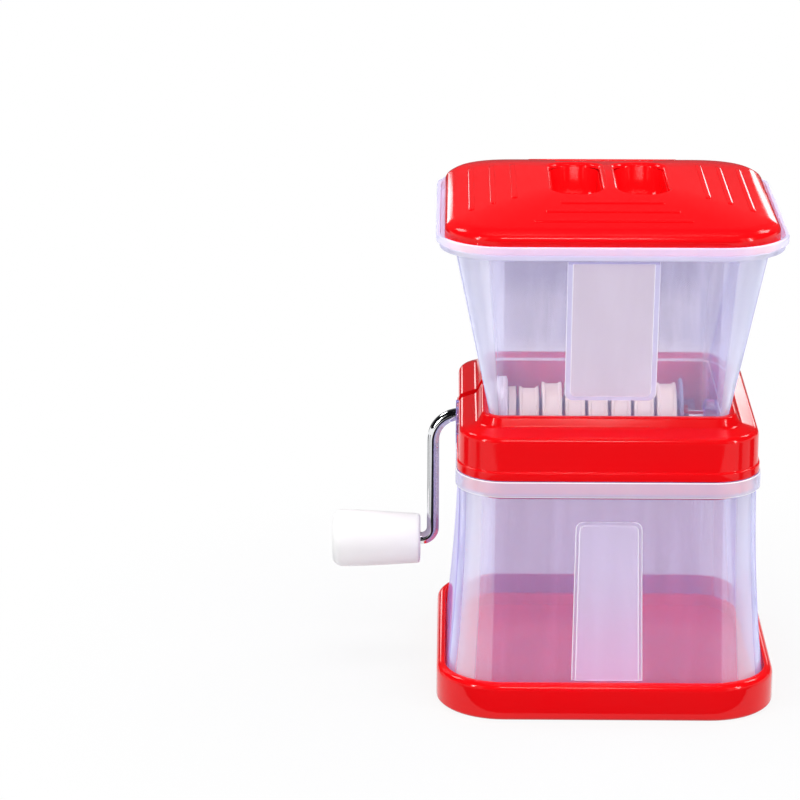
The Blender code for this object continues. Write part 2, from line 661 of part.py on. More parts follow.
def crank_rod(axle):
    """One bent round rod, with two flats where the blades sit."""
    builder = bmesh.new()
    path = rod_path()
    rings = []
    for index, point in enumerate(path):
        before = path[max(index - 1, 0)]
        after = path[min(index + 1, len(path) - 1)]
        heading = (after - before).normalized()
        upward = Vector((0.0, 1.0, 0.0)).cross(heading)
        ring = []
        for side in range(ROD_SIDES):
            angle = 2 * math.pi * (side + 0.5) / ROD_SIDES
            offset = math.cos(angle) * Vector((0.0, 1.0, 0.0)) + math.sin(angle) * upward
            ring.append(builder.verts.new(point + ROD / 2 * offset))
        rings.append(ring)
    for lower, upper in zip(rings, rings[1:]):
        bridge(builder, lower, upper)
    builder.faces.new(reversed(rings[0]))
    builder.faces.new(rings[-1])
    rod = new_object("crank_rod", builder, material("rod_chrome", STEEL, 0.08, metallic=1.0))
    rod.parent = axle
    flats = bmesh.new()
    for side in (-1, 1):
        near = side * SHAFT_FLAT / 2
        far = side * ROD
        low = (FIRST_BLADE - BLADE_THICK, -ROD, min(near, far))
        high = (LAST_BLADE + BLADE_THICK + WASHER_THICK, ROD, max(near, far))
        block(flats, low, high)
    cutter = guide_object("rod_flats", flats)
    cutter.parent = axle
    combine(rod, cutter, "DIFFERENCE")
    return rod


def flatted_hole(steps):
    """Outline of the blade's hole: round with two flats, a loose fit on the rod."""
    radius = ROD / 2 + FIT
    flat = SHAFT_FLAT / 2 + FIT
    points = []
    for step in range(steps):
        angle = 2 * math.pi * (step + 0.5) / steps
        z = max(-flat, min(flat, radius * math.sin(angle)))
        points.append((radius * math.cos(angle), z))
    return points


def blade_outline(inset):
    """Outline of a double-ended blade: round ends, straight edges, a wider hub."""
    points = []
    end = BLADE_WIDTH / 2 - inset
    hub = BLADE_HUB / 2 - inset
    reach = BLADE_REACH - inset
    half_hub = math.acos(min(BLADE_WIDTH / BLADE_HUB, 0.95))
    for side in (1, -1):
        for step in range(7):
            angle = math.radians(-90 + 180 * step / 6)
            points.append((side * (reach - end + end * math.cos(angle)), side * end * math.sin(angle)))
        for step in range(5):
            angle = math.pi / 2 - half_hub + 2 * half_hub * step / 4
            points.append((side * hub * math.cos(angle), side * hub * math.sin(angle)))
    return points


def blade_mesh():
    """Thin plate with bevelled edges all round and a flatted hole."""
    builder = bmesh.new()
    layers = ((-BLADE_THICK / 2, BLADE_BEVEL), (-BLADE_EDGE / 2, 0.0), (BLADE_EDGE / 2, 0.0), (BLADE_THICK / 2, BLADE_BEVEL))
    rims = []
    for along, inset in layers:
        rims.append([builder.verts.new((along, y, z)) for y, z in blade_outline(inset)])
    for lower, upper in zip(rims, rims[1:]):
        bridge(builder, lower, upper)
    holes = []
    for along in (-BLADE_THICK / 2, BLADE_THICK / 2):
        holes.append([builder.verts.new((along, y, z)) for y, z in flatted_hole(16)])
    bridge(builder, holes[0], holes[1])
    for rim, hole in ((rims[0], holes[0]), (rims[-1], holes[1])):
        edges = []
        for loop in (rim, hole):
            for index, vertex in enumerate(loop):
                after = loop[(index + 1) % len(loop)]
                edges.append(builder.edges.get((vertex, after)) or builder.edges.new((vertex, after)))
        bmesh.ops.triangle_fill(builder, edges=edges, use_beauty=True)
    return builder


def blades(axle):
    """Eight equal blades at one pitch, which share one mesh."""
    first = new_object("blade_1", blade_mesh(), material("blade_steel", SLATE, 0.28, metallic=0.9))
    result = [first]
    for index in range(1, BLADE_COUNT):
        copy = bpy.data.objects.new("blade_%d" % (index + 1), first.data)
        bpy.context.scene.collection.objects.link(copy)
        result.append(copy)
    for index, blade in enumerate(result):
        blade.parent = axle
        blade.location.x = FIRST_BLADE + index * BLADE_PITCH
    return result


def spacer_profile(width, outer):
    """(along, radius) of a spacer tube with a slightly raised rim at each end."""
    half = width / 2
    rim = min(SPACER_RIM_WIDTH, half * 0.6)
    barrel = outer / 2 - SPACER_RIM
    return [(-half, ROD_BORE), (-half, outer / 2), (-half + rim, outer / 2), (-half + rim + SPACER_RIM / 2, barrel),
            (half - rim - SPACER_RIM / 2, barrel), (half - rim, outer / 2), (half, outer / 2), (half, ROD_BORE)]


def spacers(axle):
    """A short end spacer by the crank-side bush, and one between each pair of blades."""
    finish = material("spacer_cream", CREAM, 0.35)
    width = BLADE_PITCH - BLADE_THICK - 2 * FIT
    result = []
    place = FIRST_BLADE - BLADE_THICK / 2 - FIT - END_SPACER / 2
    end = [(-END_SPACER / 2, ROD_BORE), (-END_SPACER / 2, SMALL_SPACER / 2), (END_SPACER / 2, SMALL_SPACER / 2),
           (END_SPACER / 2, ROD_BORE)]
    spacer = new_object("end_spacer", turned(end), finish)
    spacer.location.x = place
    result.append(spacer)
    for index in range(BLADE_COUNT - 1):
        outer = SMALL_SPACER if index == 0 else LARGE_SPACER
        spacer = new_object("spacer_%d" % (index + 1), turned(spacer_profile(width, outer)), finish)
        spacer.location.x = FIRST_BLADE + (index + 0.5) * BLADE_PITCH
        result.append(spacer)
    for spacer in result:
        spacer.parent = axle
    return result


def stack_end(axle):
    """The smoky washer and the hexagon nut that clamp the stack on the far side."""
    near = LAST_BLADE + BLADE_THICK / 2 + FIT
    far = near + WASHER_THICK
    ring = [(near, ROD_BORE), (near, WASHER / 2 - FIT), (near + FIT, WASHER / 2), (far - FIT, WASHER / 2),
            (far, WASHER / 2 - FIT), (far, ROD_BORE)]
    washer = new_object("end_washer", turned(ring, 36), material("washer_smoke", SMOKE, 0.3, alpha=0.7))
    washer.parent = axle
    builder = bmesh.new()
    radius = NUT_ACROSS / math.sqrt(3)
    near = far + FIT
    far = near + NUT_THICK
    rings = []
    for along, size, corners in ((near, ROD_BORE, 24), (near, radius, 6), (far, radius, 6), (far, ROD_BORE, 24)):
        ring = []
        for step in range(24):
            angle = 2 * math.pi * step / 24
            reach = size
            if corners == 6:
                local = (angle + math.pi / 6) % (math.pi / 3) - math.pi / 6
                reach = size * math.cos(math.pi / 6) / math.cos(abs(local) - math.pi / 6)
            ring.append(builder.verts.new((along, reach * math.cos(angle), reach * math.sin(angle))))
        rings.append(ring)
    for lower, upper in zip(rings, rings[1:] + rings[:1]):
        bridge(builder, lower, upper)
    nut = new_object("stack_nut", builder, material("nut_steel", STEEL, 0.25, metallic=1.0))
    nut.parent = axle
    return washer, nut


def crank_bush():
    """White dished bush on the crank side: sleeve in the neck's wall, wide flange towards the blades."""
    wide = CRANK_BUSH_FLANGE / 2
    face = -CRANK_BUSH_FACE
    wall = -BUSH_WALL_FACE
    profile = [(-SLEEVE_END, ROD_BORE), (-SLEEVE_END, BUSH_SLEEVE / 2), (wall, BUSH_SLEEVE / 2)]
    profile += [(wall, wide * 0.82), (wall + (face - wall) * 0.4, wide), (face - EDGE_ROUND, wide)]
    profile += [(face, wide - EDGE_ROUND), (face, ROD_BORE)]
    bush = new_object("crank_side_bush", turned(profile, 36), material("bush_white", WHITE, 0.3))
    bush.location.z = SHAFT_HEIGHT
    return bush


def far_bush():
    """Clear flanged bush on the far side, which takes the end of the rod."""
    wide = FAR_BUSH_FLANGE / 2
    profile = [(FAR_BUSH_FACE, ROD_BORE), (FAR_BUSH_FACE, wide - EDGE_ROUND), (FAR_BUSH_FACE + EDGE_ROUND, wide)]
    profile += [(BUSH_WALL_FACE, wide), (BUSH_WALL_FACE, BUSH_SLEEVE / 2), (SLEEVE_END, BUSH_SLEEVE / 2)]
    profile += [(SLEEVE_END, ROD_BORE)]
    bush = new_object("far_side_bush", turned(profile), material("bush_clear", CLEAR, 0.2, alpha=0.4))
    bush.location.z = SHAFT_HEIGHT
    return bush


def comb(name, side):
    """A bar against the neck's wall with a finger in each gap of the blade stack."""
    builder = bmesh.new()
    wall = NECK_INNER - FIT
    root = wall - COMB_BAR_THICK
    tip = LARGE_SPACER / 2 + SWEEP
    foot = NECK_FOOT + COMB_RISE
    half_length = NECK_INNER - COMB_END_GAP
    stations = [-half_length]
    for index in range(BLADE_COUNT):
        middle = FIRST_BLADE + (index + 0.5) * BLADE_PITCH
        stations += [middle - FINGER_THICK / 2, middle + FINGER_THICK / 2]
    stations.append(half_length)

    def post(x, y, height):
        low = builder.verts.new((x, side * y, foot))
        high = builder.verts.new((x, side * y, foot + height))
        return low, high

    walls = [post(x, wall, COMB_BAR_HEIGHT) for x in stations]
    roots = [post(x, root, FINGER_ROOT) for x in stations]
    cells = list(zip(walls, walls[1:], roots[1:], roots))
    for index in range(1, len(stations) - 1, 2):
        left = post(stations[index] + FINGER_THICK / 4, tip, FINGER_TIP)
        right = post(stations[index + 1] - FINGER_THICK / 4, tip, FINGER_TIP)
        cells.append((roots[index], roots[index + 1], right, left))
    sides = {}
    for cell in cells:
        builder.faces.new([low for low, high in cell])
        builder.faces.new([high for low, high in reversed(cell)])
        for near, far in zip(cell, cell[1:] + cell[:1]):
            key = frozenset((near[0], far[0]))
            sides[key] = None if key in sides else (near, far)
    for near, far in filter(None, sides.values()):
        builder.faces.new((near[0], far[0], far[1], near[1]))
    return new_object(name, builder, material(name + "_clear", CLEAR, 0.12, alpha=0.35))


def grip(knob):
    """White barrel grip, fuller at its free end, with a recess for the retainer."""
    start = -GRIP_START
    end = start - GRIP_LENGTH
    inner = GRIP_INNER / 2
    outer = GRIP_OUTER / 2
    profile = [(start, ROD_BORE), (start, inner - GRIP_INNER_ROUND)]
    for step in range(3):
        angle = math.radians(30 + 30 * step)
        profile.append((start - GRIP_INNER_ROUND * (1 - math.cos(angle)),
                        inner - GRIP_INNER_ROUND * (1 - math.sin(angle))))
    barrel = GRIP_LENGTH - GRIP_INNER_ROUND - GRIP_END_ROUND
    for step in range(1, 6):
        share = step / 6
        swell = inner + (outer - inner) * math.sin(share * math.pi / 2)
        profile.append((start - GRIP_INNER_ROUND - barrel * share, swell))
    for step in range(5):
        angle = math.radians(22.5 * step)
        profile.append((end + GRIP_END_ROUND * (1 - math.sin(angle)), outer - GRIP_END_ROUND * (1 - math.cos(angle))))
    profile += [(end, GRIP_RECESS_BORE / 2), (end + GRIP_RECESS, GRIP_RECESS_BORE / 2)]
    profile += [(end + GRIP_RECESS, ROD_BORE)]
    handle = new_object("handle_grip", turned(profile, 32), material("grip_white", WHITE, 0.28))
    handle.parent = knob
    near = end + GRIP_RECESS - FIT
    ring = [(near, ROD / 2 + FIT), (near, ROD / 2 + FIT + RETAINER_BORE_WALL),
            (near - RETAINER_THICK, ROD / 2 + FIT + RETAINER_BORE_WALL), (near - RETAINER_THICK, ROD / 2 + FIT)]
    clip = new_object("grip_retainer", turned(ring, 24), material("retainer_steel", STEEL, 0.25, metallic=1.0))
    clip.parent = knob
    return handle, clip


def axle_empty(name, height):
    """An empty on a joint's axis, which carries the pieces that turn there."""
    empty = bpy.data.objects.new(name, None)
    empty.location = (0.0, 0.0, height)
    bpy.context.scene.collection.objects.link(empty)
    return empty


def main():
    clear_scene()
    base_tray()
    slot = rod_slot()
    lower_container(slot)
    collar(slot)
    hopper()
    lid()
    comb("front_comb", -1)
    comb("back_comb", 1)
    crank_bush()
    far_bush()
    shaft_axle = axle_empty("shaft_axle", SHAFT_HEIGHT)
    crank_rod(shaft_axle)
    blades(shaft_axle)
    spacers(shaft_axle)
    stack_end(shaft_axle)
    grip(axle_empty("grip_axle", HANDLE_HEIGHT))


main()
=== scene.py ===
# %% [markdown]
# # A hand-cranked vegetable chopper
# This lesson dresses a finished CAD model. The model is loaded as a fixed frame: its
# bodies, joints and sizes stay as they are, and each cell below makes one piece or one
# finish that lies on it. The object is a clear plastic container on a red tray, a red
# collar, a clear hopper with a red lid, and a bent chrome crank that turns a stack of
# flat blades inside the hopper's neck.

# %% Load the frame
import math

import bmesh
import bpy
from mathutils import Matrix, Vector


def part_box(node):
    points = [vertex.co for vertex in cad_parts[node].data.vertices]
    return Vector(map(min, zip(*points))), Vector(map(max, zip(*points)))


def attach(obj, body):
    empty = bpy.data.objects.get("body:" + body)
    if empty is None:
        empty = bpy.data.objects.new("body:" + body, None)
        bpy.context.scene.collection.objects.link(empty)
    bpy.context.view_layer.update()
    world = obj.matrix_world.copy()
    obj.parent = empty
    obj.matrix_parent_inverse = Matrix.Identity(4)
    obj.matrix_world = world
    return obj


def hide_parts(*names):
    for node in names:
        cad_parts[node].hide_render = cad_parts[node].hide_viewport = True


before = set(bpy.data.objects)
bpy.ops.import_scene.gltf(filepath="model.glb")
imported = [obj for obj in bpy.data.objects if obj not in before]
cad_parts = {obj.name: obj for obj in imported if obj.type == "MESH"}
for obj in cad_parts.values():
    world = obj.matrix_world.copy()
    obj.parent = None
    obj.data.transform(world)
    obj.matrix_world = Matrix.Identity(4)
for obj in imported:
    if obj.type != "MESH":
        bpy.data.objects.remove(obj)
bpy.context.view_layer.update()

MM = 0.001

# %% [markdown]
# The photograph was taken a little from above and almost straight on. Its camera was
# recovered from the corners of the container, the rim and the collar: a long lens, 16.6
# degrees of downward tilt and about one degree of turn. The same numbers are set here, so
# that a render can be laid over the photograph.

# %% The camera
DOWNWARD_TILT = 16.62
TURN = 0.92
camera_data = bpy.data.cameras.new("photo_camera")
camera_data.sensor_width = 36.0
camera_data.lens = 148.5
camera_data.clip_start = 0.05
camera_data.clip_end = 40.0
camera = bpy.data.objects.new("photo_camera", camera_data)
camera.location = (-0.0742, -1.5312, 0.5909)
camera.rotation_euler = (math.radians(90.0 - DOWNWARD_TILT), 0.0, math.radians(TURN))
bpy.context.scene.collection.objects.link(camera)
bpy.context.scene.camera = camera
print("lens", camera_data.lens, "mm at", tuple(camera.location))

# %% [markdown]
# The light, the finishes and the Geometry Nodes are all trees of nodes. A few helpers add a
# node, set its inputs and link it, so that each tree below reads as a short list of steps.
# An input is given either as a plain value or as a pair: a node and the output to link.

# %% Helpers for node trees
MIX_COLOUR_A, MIX_COLOUR_B, MIX_COLOUR_OUT = 6, 7, 2


def joined(tree, source, output, target, entry):
    """Link two nodes by socket name or number."""
    tree.links.new(source.outputs[output], target.inputs[entry])


def add(tree, kind, **settings):
    """A new node with some of its settings."""
    node = tree.nodes.new(kind)
    for name, value in settings.items():
        setattr(node, name, value)
    return node


def filled(node, **values):
    """Set inputs of a node by their names, with _ for each space."""
    for name, value in values.items():
        node.inputs[name.replace("_", " ")].default_value = value
    return node


def fed(tree, node, entries):
    """Link each (node, output) pair to its input, and set each plain value."""
    for entry, source in entries.items():
        if isinstance(source, tuple) and len(source) == 2:
            joined(tree, *source, node, entry)
        else:
            node.inputs[entry].default_value = source
    return node


def maths(tree, operation, *sources):
    """A maths node."""
    return fed(tree, add(tree, "ShaderNodeMath", operation=operation), dict(enumerate(sources)))


def ranged(tree, source, low, high, smooth="LINEAR"):
    """Map the part of a value between two limits onto 0 to 1."""
    node = add(tree, "ShaderNodeMapRange", interpolation_type=smooth)
    return fed(tree, node, {"Value": source, "From Min": low, "From Max": high})


def colour_mix(tree, share, first, second):
    """The pair for a mix of two colours; its sockets are numbered, because several share a name."""
    node = add(tree, "ShaderNodeMix", data_type="RGBA")
    fed(tree, node, {"Factor": share, MIX_COLOUR_A: first, MIX_COLOUR_B: second})
    return node, MIX_COLOUR_OUT


def surface_mix(tree, share, first, second, output="Material Output"):
    """Mix two shaders into the tree's surface."""
    blend = fed(tree, add(tree, "ShaderNodeMixShader"), {0: share, 1: (first, 0), 2: (second, 0)})
    joined(tree, blend, 0, tree.nodes[output], "Surface")


def seen_directly(tree):
    """1 for rays from the camera, off gloss or through clear plastic; 0 for the rays that light things."""
    path = add(tree, "ShaderNodeLightPath")
    first = maths(tree, "MAXIMUM", (path, "Is Camera Ray"), (path, "Is Glossy Ray"))
    return maths(tree, "MAXIMUM", (first, 0), (path, "Is Transmission Ray"))


def new_finish(name):
    """A new material, its tree and its Principled shader."""
    made = bpy.data.materials.new(name)
    made.use_nodes = True
    return made, made.node_tree, made.node_tree.nodes["Principled BSDF"]


# %% [markdown]
# Colour is judged on plain settings. The Standard view transform shows a colour about as
# it is written, so nothing in the look depends on a film curve. The object is lit by a dim
# air, while the camera, gloss and clear plastic see a plain white backdrop.

# %% Plain colour settings
WHITE = (1.0, 1.0, 1.0, 1.0)
AIR_LIGHT = 0.50
bpy.context.scene.view_settings.view_transform = "Standard"
world = bpy.data.worlds.new("studio_air")
bpy.context.scene.world = world
world.use_nodes = True
tree = world.node_tree
air = filled(tree.nodes["Background"], Color=(0.96, 0.97, 1.0, 1.0), Strength=AIR_LIGHT)
backdrop = filled(add(tree, "ShaderNodeBackground"), Color=WHITE, Strength=1.0)
surface_mix(tree, (seen_directly(tree), 0), air, backdrop, "World Output")
print("air light", AIR_LIGHT)

# %% [markdown]
# The object stands on a white sheet that runs out of the frame. Near the object the sheet
# is an ordinary matt surface, so it takes a soft shadow. Further off it fades into plain
# white, so that the background has no horizon.

# %% The floor
FLOOR_HALF = 6.0
FADE_START = 0.14
FADE_END = 0.34
NEAR_GLOW = 0.87


def quad_sheet(name, corners):
    """One four-cornered face as an object."""
    mesh = bpy.data.meshes.new(name)
    mesh.from_pydata(corners, [], [(0, 1, 2, 3)])
    sheet = bpy.data.objects.new(name, mesh)
    bpy.context.scene.collection.objects.link(sheet)
    return sheet


floor = quad_sheet("studio_floor", [(-FLOOR_HALF, -FLOOR_HALF, 0.0), (FLOOR_HALF, -FLOOR_HALF, 0.0),
                                    (FLOOR_HALF, FLOOR_HALF, 0.0), (-FLOOR_HALF, FLOOR_HALF, 0.0)])
paper, tree, matt = new_finish("white_paper")
filled(matt, Base_Color=(0.60, 0.60, 0.61, 1.0), Roughness=0.9, Specular_IOR_Level=0.1)
glow = filled(add(tree, "ShaderNodeEmission"), Color=WHITE)
place = add(tree, "ShaderNodeTexCoord")
distance = add(tree, "ShaderNodeVectorMath", operation="LENGTH")
joined(tree, place, "Object", distance, 0)
fade = ranged(tree, (distance, "Value"), FADE_START, FADE_END, "SMOOTHERSTEP")
filled(fade, To_Min=NEAR_GLOW, To_Max=1.0)
share = maths(tree, "MULTIPLY", (fade, "Result"), (seen_directly(tree), 0))
surface_mix(tree, (share, 0), matt, glow)
floor.data.materials.append(paper)
print("floor of", 2 * FLOOR_HALF, "m")

# %% [markdown]
# Glossy plastic is described by what it reflects. A large soft box hangs overhead and does
# most of the lighting. Narrow strips stand left, right and in front: they are small and
# bright, so each draws a crisp white streak along a rounded edge and adds little elsewhere.
# Two small boxes stand behind on the left and right, where the rounded front corners of the
# lid and collar mirror them. A thin strip overhead and two low boxes draw the lid's ribs.

# %% The lamps
AIM = (0.0, 0.0, 0.12)
RIB_AIM = (0.0, 0.0, 0.24)
CORNER_BOX = (0.34, 0.30)
LOW_BOX = (0.22, 0.16)


def soft_box(name, place, target, size, watts, mirrored=True, hidden=False):
    """An area lamp that faces a point. Gloss mirrors it unless told not to; a hidden one isn't seen."""
    data = bpy.data.lights.new(name, "AREA")
    data.shape = "RECTANGLE"
    data.size = size[0]
    data.size_y = size[1]
    data.energy = watts
    lamp = bpy.data.objects.new(name, data)
    lamp.location = place
    lamp.rotation_euler = (Vector(target) - Vector(place)).to_track_quat("-Z", "Y").to_euler()
    lamp.visible_glossy = mirrored
    lamp.visible_camera = not hidden
    lamp.visible_transmission = not hidden
    bpy.context.scene.collection.objects.link(lamp)


soft_box("left_strip", (-1.05, -0.80, 0.62), AIM, (0.10, 0.62), 5.4)
soft_box("right_strip", (1.05, -0.75, 0.58), AIM, (0.10, 0.62), 5.0)
soft_box("top_box", (0.0, -0.15, 1.35), AIM, (0.9, 0.7), 10.0, mirrored=False)
soft_box("front_strip", (-0.05, -1.35, 1.35), AIM, (0.42, 0.10), 3.6)
soft_box("top_strip", (0.0, -0.15, 1.35), AIM, (0.9, 0.05), 2.2)
soft_box("low_right_box", (0.46, 1.45, 0.36), RIB_AIM, LOW_BOX, 0.4, hidden=True)
soft_box("low_left_box", (-0.46, 1.45, 0.36), RIB_AIM, LOW_BOX, 0.4, hidden=True)
soft_box("left_corner_box", (-0.80, 0.48, 1.00), AIM, CORNER_BOX, 2.6)
soft_box("right_corner_box", (0.80, 0.48, 1.00), AIM, CORNER_BOX, 2.6)

# %% [markdown]
# In an all-white room chrome looks like paper, and red plastic wears a grey veil. So
# photographers stand dark cards about, out of the picture. The high ones here darken what
# the lid mirrors, a cloth on the floor darkens what the upright faces mirror, and narrow
# ones at the sides draw the black lines along the rod. Only gloss sees them.

# %% Dark cards for the gloss
ROOM_HALF = 2.2
ROOM_FRONT = -2.3
ROOM_TOP = 2.6
CARD_LIFT = 0.002
SIDE_CARD_REACH = (0.17, 1.2)


def card_paint(name, colour):
    """A dead matt paint."""
    made, _, shader = new_finish(name)
    filled(shader, Base_Color=(*colour, 1.0), Roughness=1.0, Specular_IOR_Level=0.0)
    return made


dark_paint = card_paint("dark_card", (0.012, 0.012, 0.014))
grey_paint = card_paint("grey_card", (0.12, 0.12, 0.125))


def dark_card(name, corners, paint=dark_paint):
    """A sheet that only glossy reflections see."""
    card = quad_sheet(name, corners)
    card.data.materials.append(paint)
    card.visible_camera = False
    card.visible_diffuse = False
    card.visible_transmission = False
    card.visible_shadow = False


dark_card("card_behind", [(-ROOM_HALF, 1.7, 0.003), (ROOM_HALF, 1.7, 0.003),
                          (ROOM_HALF, 1.5, ROOM_TOP), (-ROOM_HALF, 1.5, ROOM_TOP)], grey_paint)
dark_card("card_far_floor", [(-ROOM_HALF, 1.0, CARD_LIFT), (ROOM_HALF, 1.0, CARD_LIFT),
                             (ROOM_HALF, 1.7, CARD_LIFT), (-ROOM_HALF, 1.7, CARD_LIFT)])
for side, word in ((-1, "left"), (1, "right")):
    dark_card("card_%s_high" % word,
              [(ROOM_HALF * side, ROOM_FRONT, 0.42), (ROOM_HALF * side, 1.6, 0.42),
               (ROOM_HALF * side, 1.6, ROOM_TOP), (ROOM_HALF * side, ROOM_FRONT, ROOM_TOP)])
dark_card("card_above", [(-ROOM_HALF, 1.5, ROOM_TOP), (ROOM_HALF, 1.5, ROOM_TOP),
                         (ROOM_HALF, ROOM_FRONT, ROOM_TOP), (-ROOM_HALF, ROOM_FRONT, ROOM_TOP)])
dark_card("card_in_front", [(-1.7, ROOM_FRONT, 0.05), (1.7, ROOM_FRONT, 0.05),
                            (1.7, ROOM_FRONT, ROOM_TOP), (-1.7, ROOM_FRONT, ROOM_TOP)])
dark_card("floor_cloth", [(-0.40, -1.9, CARD_LIFT), (0.40, -1.9, CARD_LIFT),
                          (0.22, -0.084, CARD_LIFT), (-0.22, -0.084, CARD_LIFT)])
for side, word in ((-1, "left"), (1, "right")):
    for index, (turn, spread) in enumerate(((66, 5), (104, 9))):
        corners = []
        for angle, reaches in ((turn - spread, SIDE_CARD_REACH), (turn + spread, SIDE_CARD_REACH[::-1])):
            way = math.radians(angle)
            for reach in reaches:
                corners.append((reach * side * math.sin(way), -reach * math.cos(way), CARD_LIFT))
        dark_card("card_%s_%d" % (word, index + 1), corners)

# %% [markdown]
# ## Finishes
# Moulded plastic is never quite even. The melt freezes from the gate outward, which leaves
# broad, faint swells in the gloss, and handling leaves fine hairlines. Both effects are
# wanted on several materials, so each is a node group with its own inputs, and the
# Principled shader stays in the material. Object coordinates keep the pattern still when
# the camera or the piece moves.

# %% A group for the swells of moulded plastic


def noise_node(tree, along, scale, detail, roughness=0.5):
    """A noise texture laid along the coordinates of a (node, output) pair."""
    noise = filled(add(tree, "ShaderNodeTexNoise"), Scale=scale, Detail=detail, Roughness=roughness)
    joined(tree, *along, noise, "Vector")
    return noise


def shader_group(name, inputs, outputs):
    """A new group, its input node and its output node; a starting value says each input's kind."""
    kinds = {1: "NodeSocketFloat", 3: "NodeSocketVector", 4: "NodeSocketColor"}
    tree = bpy.data.node_groups.new(name, "ShaderNodeTree")
    for label, value in inputs.items():
        kind = kinds[len(value) if isinstance(value, tuple) else 1]
        tree.interface.new_socket(name=label, in_out="INPUT", socket_type=kind).default_value = value
    for label in outputs:
        kind = kinds[4 if label == "Colour" else 1]
        tree.interface.new_socket(name=label, in_out="OUTPUT", socket_type=kind)
    return tree, add(tree, "NodeGroupInput"), add(tree, "NodeGroupOutput")


def moulded_group():
    """Colour, gloss and height of moulded plastic: slow swells, a faint orange peel, fine hairlines."""
    tree, given, result = shader_group("moulded_plastic", {
        "Colour": (0.8, 0.8, 0.8, 1.0), "Deeper Colour": (0.6, 0.6, 0.6, 1.0), "Swell Scale": 30.0,
        "Peel Scale": 700.0, "Gloss Low": 0.15, "Gloss High": 0.22, "Hairlines": 0.5},
        ("Colour", "Roughness", "Height"))
    place = add(tree, "ShaderNodeTexCoord")
    swell = noise_node(tree, (place, "Object"), 30.0, 2.0)
    joined(tree, given, "Swell Scale", swell, "Scale")
    peel = noise_node(tree, (place, "Object"), 700.0, 3.0, 0.55)
    joined(tree, given, "Peel Scale", peel, "Scale")
    stretch = filled(add(tree, "ShaderNodeMapping"), Rotation=(0.3, 0.5, 0.9), Scale=(60.0, 2600.0, 900.0))
    joined(tree, place, "Object", stretch, "Vector")
    hair = noise_node(tree, (stretch, "Vector"), 1.0, 2.0, 0.6)
    thin = ranged(tree, (hair, "Fac"), 0.66, 0.74)
    lines = maths(tree, "MULTIPLY", (thin, "Result"), (given, "Hairlines"))
    shade = colour_mix(tree, (swell, "Fac"), (given, "Colour"), (given, "Deeper Colour"))
    joined(tree, *shade, result, "Colour")
    gloss = ranged(tree, (swell, "Fac"), 0.3, 0.7)
    joined(tree, given, "Gloss Low", gloss, "To Min")
    joined(tree, given, "Gloss High", gloss, "To Max")
    scuffed = maths(tree, "MULTIPLY_ADD", (lines, 0), 0.12, (gloss, "Result"))
    joined(tree, scuffed, 0, result, "Roughness")
    low = maths(tree, "MULTIPLY", (peel, "Fac"), 0.12)
    height = maths(tree, "MULTIPLY_ADD", (swell, "Fac"), 0.9, (low, 0))
    joined(tree, height, 0, result, "Height")
    return tree


moulded = moulded_group()
print("group", moulded.name, "with", len(moulded.nodes), "nodes")

# %% [markdown]
# Metal parts carry tool marks that follow how they were made: rings from turning and
# polishing, and straight grinding lines across a blade. One group stretches a noise along
# a chosen direction and puts out a roughness and a height.

# %% A group for tool marks on metal


def tool_mark_group():
    """Fine lines along one direction, given as three scales, with broad smudges over them."""
    tree, given, result = shader_group("tool_marks", {
        "Stretch": (100.0, 2000.0, 2000.0), "Gloss Low": 0.15, "Gloss High": 0.3},
        ("Roughness", "Height", "Smudge"))
    place = add(tree, "ShaderNodeTexCoord")
    stretched = add(tree, "ShaderNodeVectorMath", operation="MULTIPLY")
    joined(tree, place, "Object", stretched, 0)
    joined(tree, given, "Stretch", stretched, 1)
    lines = noise_node(tree, (stretched, "Vector"), 1.0, 3.0, 0.6)
    smudge = noise_node(tree, (place, "Object"), 55.0, 3.0, 0.6)
    both = maths(tree, "MULTIPLY", (lines, "Fac"), (smudge, "Fac"))
    gloss = ranged(tree, (both, 0), 0.1, 0.4)
    joined(tree, given, "Gloss Low", gloss, "To Min")
    joined(tree, given, "Gloss High", gloss, "To Max")
    joined(tree, gloss, "Result", result, "Roughness")
    joined(tree, lines, "Fac", result, "Height")
    joined(tree, smudge, "Fac", result, "Smudge")
    return tree


tool_marks = tool_mark_group()
print("group", tool_marks.name, "with", len(tool_marks.nodes), "nodes")

# %% [markdown]
# The opaque plastics share one recipe and differ in their values: a strong red for the
# tray, collar and lid, satin white for the grip, a plain white for the bushes and a warm
# cream for the spacers.

# %% The opaque plastics


def group_node(tree, group, **values):
    """Place a group in a material with its own values."""
    return filled(add(tree, "ShaderNodeGroup", node_tree=group), **values)


def bumped(tree, source, output, shader, strength, distance):
    """Feed a height to the shader's normal."""
    bump = filled(add(tree, "ShaderNodeBump"), Strength=strength, Distance=distance)
    joined(tree, source, output, bump, "Height")
    joined(tree, bump, "Normal", shader, "Normal")


def opaque_plastic(name, colour, deeper, gloss, strength=0.1, specular=0.4):
    """Moulded, coloured plastic."""
    made, tree, shader = new_finish(name)
    surface = group_node(tree, moulded, Colour=(*colour, 1.0), Deeper_Colour=(*deeper, 1.0),
                         Gloss_Low=gloss[0], Gloss_High=gloss[1])
    joined(tree, surface, "Colour", shader, "Base Color")
    joined(tree, surface, "Roughness", shader, "Roughness")
    bumped(tree, surface, "Height", shader, strength, 0.0004)
    filled(shader, IOR=1.5, Specular_IOR_Level=specular)
    return made


